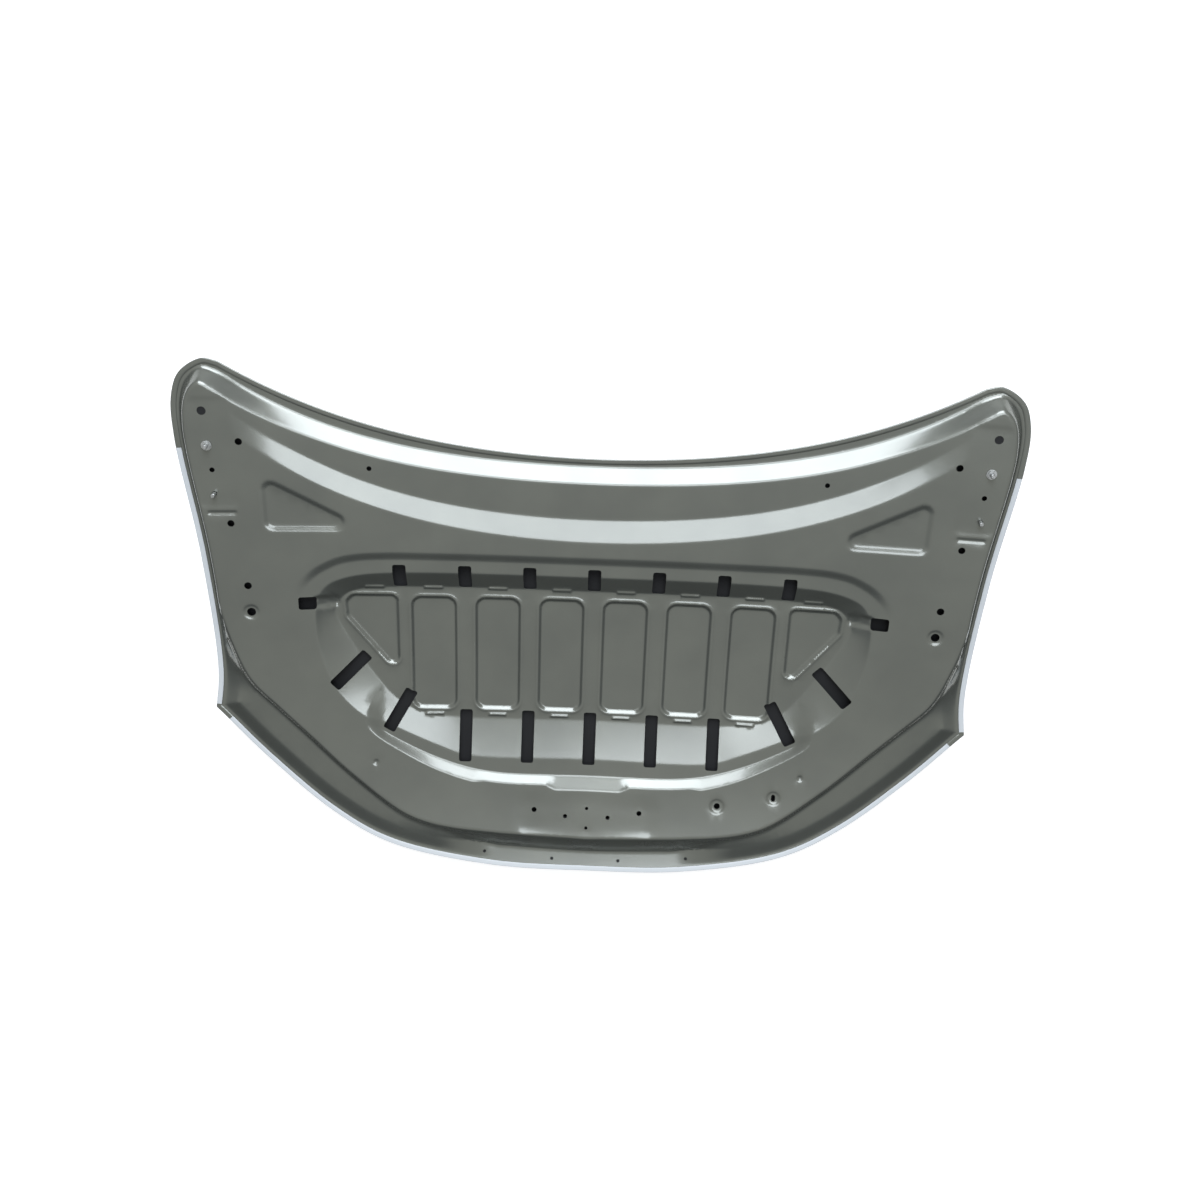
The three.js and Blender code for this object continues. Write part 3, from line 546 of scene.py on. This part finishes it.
def panel_top(x, y):
    """Height of the panel's upper face, with the sheet's thickness square to the wall."""
    step = 0.4
    xs, ys = np.r_[x, x + step, x], np.r_[y, y, y + step]
    under = crown(xs, ys) + skin_thickness + clearance + panel_level(xs, ys)
    z, zx, zy = np.split(under, 3)
    normal = np.c_[-(zx - z) / step, -(zy - z) / step, np.ones(len(x))]
    normal /= np.linalg.norm(normal, axis=1)[:, None]
    return z + panel_thickness, normal


print("panel height at the centre", panel_top(np.zeros(1), np.zeros(1))[0].round(1))

# %% [markdown]
# ## Slots and holes
#
# They are pierced after pressing, straight down, with small corner radii. A boolean would cut
# them too, but it leaves long thin faces. Here their rims are edges of the sheet from the start.


# %% Slots and holes
def ring_at(x, y, radius, sides=28):
    angle = np.linspace(0, 2 * np.pi, sides, endpoint=False)
    return np.c_[x + radius * np.cos(angle), y + radius * np.sin(angle)]


def slot_at(x, y, length, width, turn, radius=3.5):
    """The rim of a slot with rounded corners, turned by some degrees."""
    corners = []
    for sx, sy, start in ((1, 1, 0), (-1, 1, 90), (-1, -1, 180), (1, -1, 270)):
        angle = np.radians(np.linspace(start, start + 90, 5))
        centre = np.array([sx * (length / 2 - radius), sy * (width / 2 - radius)])
        corners.append(centre + radius * np.c_[np.cos(angle), np.sin(angle)])
    loop = even_steps(np.vstack(corners), 4, closed=True)
    c, s = np.cos(np.radians(turn)), np.sin(np.radians(turn))
    return loop @ np.array([[c, s], [-s, c]]) + [x, y]


slot_width = 25
slots = [slot_at(k * field_pitch, 82, 48, slot_width, 90) for k in range(-3, 4)]
slots += [slot_at(k * field_pitch, -250, 104, slot_width, 90) for k in range(-2, 3)]
for side in (1, -1):
    slots.append(slot_at(side * 471, -113, 86, slot_width, -side * 44))
    slots.append(slot_at(side * 378, -198, 90, slot_width, -side * 60))
    slots.append(slot_at(side * 545, 28, 32, slot_width, 0))

paired_holes = [
    (700, 395, 7.5), (643, 340, 6.2), (693, 288, 4.5), (670, 187, 6.2), (650, 65, 6.8), (648, 12, 8),
    (420, 291, 4.5), (106, -392, 5), (68, -502, 3.2), (206, -491, 3.2), (43, -403, 4.3),
    (698, 333, 4.7), (693.5, 243.5, 4.7),
]
holes = [ring_at(side * x, y, r) for x, y, r in paired_holes for side in (1, -1)]
holes += [ring_at(0, -386, 3.2), ring_at(0, -425, 3.2), ring_at(262, -369, 6)]
holes.append(slot_at(373, -345, 8, 14, 0, 3))
print("slots", len(slots), "holes", len(holes))

# %% [markdown]
# ## Where the faces go
#
# A wall needs several rows of points and a flat face very few. Rows follow each feature
# line, a coarse grid fills the rest, and a Delaunay triangulation joins them all. An even
# grid that is fine enough for the walls would need several times as many faces.


# %% Sheet making
def rows_along(line, offsets, closed=False):
    return [beside(line, offset, closed) for offset in offsets]


def fill_grid(pitch):
    """Staggered points over the whole bonnet."""
    xs = np.arange(-half_tail, half_tail, pitch)
    ys = np.arange(nose_y, corner_y, pitch * 0.87)
    x, y = np.meshgrid(xs, ys)
    x = x + (np.arange(len(ys)) % 2)[:, None] * pitch / 2
    return np.c_[x.ravel(), y.ravel()]


def thinned(points, gap):
    """One point is kept in each square of the size of the gap."""
    _, first = np.unique(np.round(points / gap).astype(int), axis=0, return_index=True)
    return points[np.sort(first)]


rim_gap, cut_gap = 1.5, 1.0


def near_cut(points, cut):
    return (abs(points - cut.mean(0)) < np.ptp(cut, axis=0).max()).all(1)


def triangles_between(rim, cuts, points):
    """Triangles inside the rim and outside the cuts, with all loops as edges."""
    loops = [rim, *cuts]
    inside = points[depth_inside(rim, *points.T) > rim_gap]
    for cut in cuts:
        close = near_cut(inside, cut)
        keep = np.ones(len(inside), bool)
        keep[close] = depth_inside(cut, *inside[close].T) < -cut_gap
        inside = inside[keep]
    verts = np.vstack([*loops, inside])
    edges, first = [], 0
    for loop in loops:
        n = len(loop)
        edges += [(first + k, first + (k + 1) % n) for k in range(n)]
        first += n
    made = delaunay_2d_cdt([Vector(v) for v in verts], edges, [], 1, 1e-4)
    plan = np.array([tuple(v) for v in made[0]])
    faces = np.array(made[2])
    middle = plan[faces].mean(1)
    keep = np.ones(len(faces), bool)
    for cut in cuts:
        close = near_cut(middle, cut)
        keep[np.flatnonzero(close)[depth_inside(cut, *middle[close].T) > 0]] = False
    faces = faces[keep]
    a, b, c = plan[faces].transpose(1, 0, 2)
    turned = np.cross(b - a, c - a) < 0
    faces[turned] = faces[turned][:, ::-1]
    return plan, faces


def rim_edges(faces):
    """The edges that only one face has, in that face's direction."""
    directed = np.vstack([faces[:, [0, 1]], faces[:, [1, 2]], faces[:, [2, 0]]])
    known = {tuple(e) for e in directed.tolist()}
    return np.array([e for e in directed.tolist() if (e[1], e[0]) not in known])


def add_piece(name, verts, faces, material, replaced, angle):
    """A smooth mesh, sharp where its faces meet at more than the angle, in place of a solid."""
    mesh = bpy.data.meshes.new(name)
    mesh.from_pydata((np.asarray(verts) + datum) * MM, [], [tuple(f) for f in faces])
    mesh.validate()
    mesh.shade_smooth()
    mesh.set_sharp_from_angle(angle=np.radians(angle))
    mesh.materials.append(material)
    piece = bpy.data.objects.new(name, mesh)
    bpy.context.collection.objects.link(piece)
    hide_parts(*replaced)
    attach(piece, "root")
    print(name, "faces", len(faces))
    return piece


test_square = np.array([[0, 0], [20, 0], [20, 20], [0, 20]], float)
print("triangles in a test square", len(triangles_between(test_square, [], np.array([[10.0, 10.0]]))[1]))


# %% [markdown]
# ## Paint and metal
#
# The bonnet has only its electrocoat: an epoxy primer that an electric current lays on in a
# dip bath and an oven cures. It is an even grey with a soft gloss, and its fine orange peel
# blurs what it mirrors. Photographs of paint could be laid on, but noise textures need no
# files and keep their scale in millimetres.


# %% Material helpers
def linear(hex_colour):
    """An sRGB hex colour as linear values with an alpha of 1."""
    values = [int(hex_colour[k : k + 2], 16) / 255 for k in (1, 3, 5)]
    return [v / 12.92 if v <= 0.04045 else ((v + 0.055) / 1.055) ** 2.4 for v in values] + [1]


def add_node(tree, kind, settings=None, **links):
    """A node with its settings, and links from other nodes' outputs to its sockets."""
    node = tree.nodes.new(kind)
    for key, value in (settings or {}).items():
        if isinstance(key, str) and hasattr(node, key):
            setattr(node, key, value)
        else:
            node.inputs[key].default_value = value
    for key, source in links.items():
        socket = node.inputs[int(key[1:])] if key[0] == "i" and key[1:].isdigit() else node.inputs[key]
        tree.links.new(source, socket)
    return node


def noise_scale(size):
    """The noise texture's scale for a pattern of this many millimetres."""
    return 1 / (size * MM)


def new_material(name):
    material = bpy.data.materials.new(name)
    material.use_nodes = True
    tree = material.node_tree
    tree.nodes.clear()
    return material, tree


print("mid grey in linear values", np.round(linear("#808080"), 3))


# %% [markdown]
# ### Electrocoat
#
# The tone drifts by a shade over a hand's width, as the coat's thickness does. Real orange
# peel is about 1 mm wide, too fine to show, so it is drawn near 4 mm. A primer has no metallic
# share: the one here was matched to how bright the real panel's walls turn. The closed space
# between the sheets gets a dull copy of the coat painted near black: painted shade, since
# hardly any light gets there.


# %% Electrocoat
def electrocoat(name, dark, pale, roughness, gloss):
    material, tree = new_material(name)
    place = add_node(tree, "ShaderNodeTexCoord").outputs["Object"]
    flow = {"Scale": noise_scale(111), "Detail": 3.0}
    drift = add_node(tree, "ShaderNodeTexNoise", flow, Vector=place)
    tone = add_node(tree, "ShaderNodeValToRGB", None, Fac=drift.outputs["Fac"])
    for stop, position, colour in zip(tone.color_ramp.elements, (0.3, 0.7), (dark, pale)):
        stop.position = position
        stop.color = linear(colour)
    grain = {"Scale": noise_scale(3.85), "Detail": 2.0}
    peel = add_node(tree, "ShaderNodeTexNoise", grain, Vector=place)
    relief = {"Strength": 0.05, "Distance": 0.6 * MM}
    bump = add_node(tree, "ShaderNodeBump", relief, Height=peel.outputs["Fac"])
    surface = {"Metallic": gloss, "Roughness": roughness, "Coat Weight": gloss - 0.1, "Coat Roughness": 0.1}
    paint = add_node(tree, "ShaderNodeBsdfPrincipled", surface, Normal=bump.outputs["Normal"])
    tree.links.new(tone.outputs["Color"], paint.inputs["Base Color"])
    out = add_node(tree, "ShaderNodeOutputMaterial")
    tree.links.new(paint.outputs["BSDF"], out.inputs["Surface"])
    return material


paint = electrocoat("electrocoat_primer_on_steel", "#6b6e68", "#72756e", 0.22, 0.6)
# A dull copy of the coat painted near black: painted shade for the closed space between the sheets.
cavity_shade_paint = electrocoat("electrocoat_painted_dark_as_cavity_shade", "#161718", "#1c1d1e", 0.9, 0.1)
print("made", paint.name, "and", cavity_shade_paint.name)


# %% [markdown]
# ### Zinc, mastic and sealer
#
# The studs and nuts are steel with electroplated zinc: a pale metal, somewhat cloudy, so its
# roughness varies over 2.5 mm. The pads are mastic, an oven cured rubber paste. The seam of the
# hem is closed with a pale sealer, smoothed by brush, whose pale colour is also painted highlight
# of the lit hem. Both pastes are matt with an uneven face and differ in colour and grain only,
# so one function makes them.


# %% Zinc plate
def zinc_plate():
    material, tree = new_material("zinc_plated_steel")
    place = add_node(tree, "ShaderNodeTexCoord").outputs["Object"]
    grain = {"Scale": noise_scale(2.5), "Detail": 2.0}
    cloud = add_node(tree, "ShaderNodeTexNoise", grain, Vector=place)
    limits = {"To Min": 0.32, "To Max": 0.5}
    rough = add_node(tree, "ShaderNodeMapRange", limits, Value=cloud.outputs["Fac"])
    surface = {"Base Color": linear("#abadab"), "Metallic": 1.0}
    metal = add_node(tree, "ShaderNodeBsdfPrincipled", surface, Roughness=rough.outputs["Result"])
    out = add_node(tree, "ShaderNodeOutputMaterial")
    tree.links.new(metal.outputs["BSDF"], out.inputs["Surface"])
    return material


zinc = zinc_plate()
print("made", zinc.name)


# %% Mastic and sealer
def cured_paste(name, colour, roughness, grain_size, detail, strength):
    material, tree = new_material(name)
    place = add_node(tree, "ShaderNodeTexCoord").outputs["Object"]
    grain = {"Scale": noise_scale(grain_size), "Detail": detail}
    uneven = add_node(tree, "ShaderNodeTexNoise", grain, Vector=place)
    relief = {"Strength": strength, "Distance": 0.8 * MM}
    bump = add_node(tree, "ShaderNodeBump", relief, Height=uneven.outputs["Fac"])
    surface = {"Base Color": linear(colour), "Roughness": roughness}
    paste = add_node(tree, "ShaderNodeBsdfPrincipled", surface, Normal=bump.outputs["Normal"])
    out = add_node(tree, "ShaderNodeOutputMaterial")
    tree.links.new(paste.outputs["BSDF"], out.inputs["Surface"])
    return material


pad_mastic = cured_paste("cured_mastic", "#2b2c2e", 0.8, 3.3, 3.0, 0.3)
# A pale sealer whose colour is also painted highlight, laid only where the hem is lit.
hem_sealer_and_highlight = cured_paste("pale_sealer_and_painted_highlight_on_the_hem", "#bfc4c6", 0.45, 8.3, 2.0, 0.2)
print("made", pad_mastic.name, "and", hem_sealer_and_highlight.name)

# %% [markdown]
# ## The inner panel
#
# One sheet, pressed between two dies and 0.7 mm thick. It is drawn in plan with the rows of
# points that its walls need, and each point is then lifted to its height. A solidify modifier
# could thicken it, but here the lower face has to keep its distance from the skin, so its
# points are moved along the sheet's own normal.


# %% Rows of points for the walls
def rim_rows():
    rim = np.vstack(rows_along(outline, (6, 11, 13, 15, 18, 24, 32, 40, 44, 48), True))
    wall = np.vstack(rows_along(rim_foot, (5, 9, 14, 20, 26, 32), True))
    return [rim[depth_inside(rim_foot, *rim.T) < -4], wall[depth_inside(rim_top, *wall.T) < -4]]


def line_rows():
    """Rows beside the feature lines, close together at the top and the foot of each wall."""
    rows = rows_along(even_steps(rim_top, 4, True), (-2.5, 0, 2.5, 6), True)
    rows += rows_along(even_steps(rim_foot, 4, True), (-7, -2.5, 0, 2.5), True)
    for line in (step_foot, shelf_front):
        x = np.linspace(-690, 690, 231)
        rows += rows_along(np.c_[x, bowed(x, *line)], (-6, -2.5, 0, 2.5, 6))
    rows += rows_along(ring_outer, (5, 2, 0, -3, -7, -11, -14, -16, -19))
    rows += rows_along(even_steps(pan_top, 4, True), (-5, -2, 0, 2, 5, 11), True)
    rows += rows_along(even_steps(pan_foot, 4, True), (-11, -5, -2, 0, 2, 5), True)
    rows += rows_along(even_steps(ledge_foot, 4), (6, 3.5, 1.7, 0, -1.7, -5, -9, -13, -18))
    rows += rows_along(even_steps(ledge_top, 4), (5, 1.7, 0, -1.7, -4, -8))
    return rows


def field_rows():
    rows = []
    for place in field_places:
        for offset in (2.5, 0, -2, -4, -6, -8, -10, 8, 5.5):
            size = 2 * np.add(field_size, offset)
            rows.append(slot_at(*place, *size, 0, field_radius + offset))
    return rows


# %% Rows of points for the small features
def side_rows(side):
    rows = []
    for offset in (-8, -5.5, -2.5, 0, 2, 4, 6, 8, 10):
        for corners, radius in ((end_corners, end_radius), (emboss_corners, emboss_radius)):
            rows.append(round_off(shrunk(corners, radius) * [side, 1], radius - offset))
    for x, y in bead_places:
        for grow in (-2.9, -1.6, 0.0, 1.6):
            size = (bead_length + 2 * grow, bead_width + 2 * grow)
            rows.append(slot_at(side * x, y, *size, 0, 3 + max(grow, -2.4)))
    for (x, y), radius, _ in dimples:
        centre_x = side * x if x > paired_from else x
        rows += [ring_at(centre_x, y, radius - inset, 36) for inset in (-2, 0, 2, 4, 6)]
    for offset in (0, 4, 8, 11):
        size = 2 * np.add(hinge_half, offset)
        rows.append(slot_at(side * hinge_centre[0], hinge_centre[1], *size, 0, seat_radius + offset))
    for inset in (-1, 1, 3, 5):
        size = (2 * (groove_half[0] - inset), 2 * (groove_half[1] - min(inset, 4)))
        rows.append(slot_at(side * groove_centre[0], groove_centre[1], *size, 0, 0.9))
    return rows


def round_off(core, radius):
    """A loop at some distance round a convex core."""
    if np.cross(core[1] - core[0], core[2] - core[1]) < 0:
        core = core[::-1]
    points = []
    for k in range(len(core)):
        before, here, after = core[k - 1], core[k], core[(k + 1) % len(core)]
        start = np.arctan2(*(here - before)[::-1]) - np.pi / 2
        end = np.arctan2(*(after - here)[::-1]) - np.pi / 2
        angle = np.linspace(start, start + (end - start) % (2 * np.pi), 9)
        points.append(here + max(radius, 0.5) * np.c_[np.cos(angle), np.sin(angle)])
    return even_steps(np.vstack(points), 6, closed=True)


print("rows on the right side", len(side_rows(1)))


# %% The pressed sheet
cut_margin, fill_pitch, panel_gap = 2.2, 19, 1.35


def make_panel():
    rim = beside(outline, panel_inset, True)
    cuts = slots + holes
    around = [beside(cut, -cut_margin, True) for cut in cuts]
    rows = rim_rows() + line_rows() + field_rows() + side_rows(1) + side_rows(-1)
    points = thinned(np.vstack([*around, *rows, fill_grid(fill_pitch)]), panel_gap)
    plan, faces = triangles_between(rim, cuts, points)
    top, normal = panel_top(*plan.T)
    upper = np.c_[plan, top]
    lower = upper - normal * panel_thickness
    n = len(plan)
    edges = rim_edges(faces)
    sides = np.c_[edges[:, ::-1] + n, edges]
    return np.vstack([upper, lower]), [*faces, *(faces[:, ::-1] + n), *sides]


verts, faces = make_panel()
add_piece("inner_panel_pressing", verts, faces, paint, ["inner_panel"], 42)

# %% [markdown]
# ## The outer skin
#
# A plain crowned sheet whose edge is folded back over the inner panel. This hem holds the two
# sheets together, and sealer keeps water out of it; the sealer's pale colour is also painted
# highlight. A bevel can't fold a sheet onto itself, so the fold's section is drawn once and
# carried round the whole outline.


# %% Section of the hem
skin_start, round_edge = 13, 0.4


def hem_section():
    """Distance from the outline and height above the skin's outer face, from below to inside."""
    stack = 2 * skin_thickness + panel_thickness + 2 * clearance
    edge, bend = panel_inset - 2 * clearance, stack / 2
    turn = np.radians(np.linspace(-80, 80, 9))
    fold = [(bend * (1 - np.cos(a)), bend * (1 + np.sin(a))) for a in turn]
    section = [(skin_start, 0), (7, 0), (edge, 0), *fold, (edge, stack), (6, stack)]
    section += [(hem_width - round_edge, stack), (hem_width, stack - round_edge)]
    section += [(hem_width, stack - skin_thickness), (edge, stack - skin_thickness)]
    section += [(edge, skin_thickness), (skin_start, skin_thickness)]
    return section


print("points in the hem's section", len(hem_section()))


# %% Where the sealer and its painted highlight are
hem_rows, first_inner_row = range(7, 14), 16


def lit_sealed_stretches():
    """The pale sealer, also a painted highlight, lies along the lit sides and front, not on the rear edge,
    the tails or the shoulder corners, which lie in shade.
    """
    x, y = ((outline + np.roll(outline, -1, 0)) / 2).T
    at_corner = np.hypot(abs(x) - half_shoulder + 6, y - shoulder_y + 12) < 22
    rear = (y > 0) & (abs(x) < corner_x)
    return (y < tail_y - 30) & ~at_corner & ~rear


def hem_finish(row, sealed_and_lit):
    """0 is paint, 1 is the painted shade of the closed cavity and 2 is sealer with painted highlight."""
    if row in hem_rows:
        return np.where(sealed_and_lit, 2, 0)
    return np.full(len(sealed_and_lit), int(row >= first_inner_row))


sealed_and_lit = lit_sealed_stretches()
print("stretches with sealer", int(sealed_and_lit.sum()), "of", len(sealed_and_lit))


# %% Outer skin
def make_skin():
    section = hem_section()
    rings = [beside(outline, inset, True) for inset, _ in section]
    n = len(outline)
    points = thinned(np.vstack([*rows_along(outline, (20, 32), True), fill_grid(26)]), 9)
    points = points[depth_inside(rings[0], *points.T) > 6]
    plan, faces = triangles_between(rings[0], [], points)
    verts = [np.c_[ring, crown(*ring.T) + lift] for ring, (_, lift) in zip(rings, section)]
    last = (len(rings) - 1) * n
    inner = plan[n:]
    total = len(rings) * n
    verts += [np.c_[inner, crown(*inner.T)], np.c_[inner, crown(*inner.T) + skin_thickness]]
    under = np.where(faces < n, faces, faces - n + total)
    over = np.where(faces < n, faces + last, faces - n + total + len(inner))
    k = np.arange(n)
    nxt = (k + 1) % n
    quads = [np.c_[a + k, a + nxt, a + n + nxt, a + n + k] for a in range(0, last, n)]
    finish = [[0] * len(under), [1] * len(over)]
    finish += [hem_finish(row, sealed_and_lit) for row in range(len(quads))]
    return np.vstack(verts), [*under[:, ::-1], *over, *np.vstack(quads)], np.concatenate(finish)


verts, faces, finish = make_skin()
skin = add_piece("outer_skin_hemmed", verts, faces, paint, ["outer_skin"], 50)
# The skin's inner face and the inside of its hem get the near black painted shade of the closed space.
skin.data.materials.append(cavity_shade_paint)
skin.data.materials.append(hem_sealer_and_highlight)
skin.data.polygons.foreach_set("material_index", finish.astype(np.int32))

# %% [markdown]
# ## Parts that keep their CAD solids
#
# The plates were coated with the bonnet but lie inside it, so they get the near black painted
# shade of the closed space. The studs and nuts are plated, and the pads were squeezed out as
# paste. Their solids are right as they are, so they only need their finish.


# %% Finish of the other nodes
def finish_of(name):
    if "stud" in name or "nut" in name:
        return zinc
    # Plates inside the bonnet get the near black painted shade of the closed space.
    return pad_mastic if "mastic" in name else cavity_shade_paint


small_parts = [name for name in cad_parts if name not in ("outer_skin", "inner_panel")]
for name in small_parts:
    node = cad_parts[name]
    node.data.materials.clear()
    node.data.materials.append(finish_of(name))
print("small parts with a finish", len(small_parts))

# %% [markdown]
# ## Floor, light and camera
#
# The pressing shows by the light on its walls. A large soft lamp stands beyond the windscreen
# edge and a weaker one hangs overhead, so walls that face the first turn bright and walls
# that face away stay dark. The world is pale above and dark low down, so that flat faces
# keep a middle grey. The floor is plain and pale. The camera's tilt and lens are assumed,
# and its place is then worked out from holes and corners that mirror each other.


# %% Floor
floor_glow = 0.62


def make_floor():
    """A matt floor that also glows a little where the camera or a mirror looks at it."""
    mesh = bpy.data.meshes.new("studio_floor")
    mesh.from_pydata([(-30, -30, 0), (30, -30, 0), (30, 30, 0), (-30, 30, 0)], [], [(0, 1, 2, 3)])
    material, tree = new_material("white_studio_floor")
    path = add_node(tree, "ShaderNodeLightPath")
    seen = add_node(tree, "ShaderNodeMath", {"operation": "MAXIMUM"})
    tree.links.new(path.outputs["Is Glossy Ray"], seen.inputs[0])
    tree.links.new(path.outputs["Is Transmission Ray"], seen.inputs[1])
    view = add_node(tree, "ShaderNodeMath", {"operation": "MAXIMUM"})
    tree.links.new(path.outputs["Is Camera Ray"], view.inputs[0])
    tree.links.new(seen.outputs[0], view.inputs[1])
    strength = add_node(tree, "ShaderNodeMath", {"operation": "MULTIPLY"})
    tree.links.new(view.outputs[0], strength.inputs[0])
    strength.inputs[1].default_value = floor_glow
    matt = add_node(tree, "ShaderNodeBsdfDiffuse", {"Color": linear("#d8d8d8")})
    glow = add_node(tree, "ShaderNodeEmission", {"Color": linear("#ffffff")}, Strength=strength.outputs[0])
    both = add_node(tree, "ShaderNodeAddShader", None, i0=matt.outputs[0], i1=glow.outputs[0])
    out = add_node(tree, "ShaderNodeOutputMaterial")
    tree.links.new(both.outputs[0], out.inputs["Surface"])
    mesh.materials.append(material)
    floor = bpy.data.objects.new("studio_floor", mesh)
    bpy.context.collection.objects.link(floor)
    return floor


print("made", make_floor().name)


# %% Lamps
def soft_lamp(name, place, target, size, power):
    data = bpy.data.lights.new(name, "AREA")
    data.color = linear("#eef3ff")[:3]
    data.shape = "RECTANGLE"
    data.size, data.size_y = size
    data.energy = power
    lamp = bpy.data.objects.new(name, data)
    lamp.location = place
    lamp.rotation_euler = (Vector(target) - Vector(place)).to_track_quat("-Z", "Y").to_euler()
    bpy.context.collection.objects.link(lamp)
    print(name, "lamp of", power, "W")


soft_lamp("tail_side", (0, 2.6, 2.0), (0, 0, 0.1), (1.8, 2.6), 115)
soft_lamp("overhead", (0.3, 0.8, 4.0), (0, 0, 0), (2.0, 1.6), 48)

# %% World and view
world = bpy.data.worlds.new("studio")
world.use_nodes = True
sky = world.node_tree
way = add_node(sky, "ShaderNodeTexCoord").outputs["Generated"]
facing = add_node(sky, "ShaderNodeVectorMath", {"operation": "DOT_PRODUCT", 1: (0, 0.45, 0.9)}, i0=way)
shade = add_node(sky, "ShaderNodeValToRGB", None, Fac=facing.outputs["Value"])
steps = shade.color_ramp.elements
for place, colour in ((0.05, "#25282b"), (0.35, "#63666a"), (0.6, "#c0c0bc"), (0.95, "#d0cfca")):
    step = steps.new(place)
    step.color = linear(colour)
steps.remove(steps[0])
steps.remove(steps[-1])
sky.links.new(shade.outputs["Color"], sky.nodes["Background"].inputs["Color"])
bpy.context.scene.world = world
bpy.context.scene.view_settings.view_transform = "Standard"
print("steps in the world's brightness", len(steps))


# %% Camera
def add_camera():
    yaw, pitch, roll = np.radians([0.342, -19.505, 2.056])
    turn = Matrix.Rotation(yaw, 3, "Y") @ Matrix.Rotation(pitch, 3, "X") @ Matrix.Rotation(roll, 3, "Z")
    data = bpy.data.cameras.new("photo_camera")
    data.sensor_width, data.lens = 36, 31.71
    camera = bpy.data.objects.new("photo_camera", data)
    place = (np.array([23.2, 725.3, 1945.1]) + datum) * MM
    camera.matrix_world = Matrix.Translation(Vector(place)) @ turn.to_4x4()
    bpy.context.collection.objects.link(camera)
    bpy.context.scene.camera = camera
    return camera


print("camera at", np.round(add_camera().matrix_world.translation, 3))
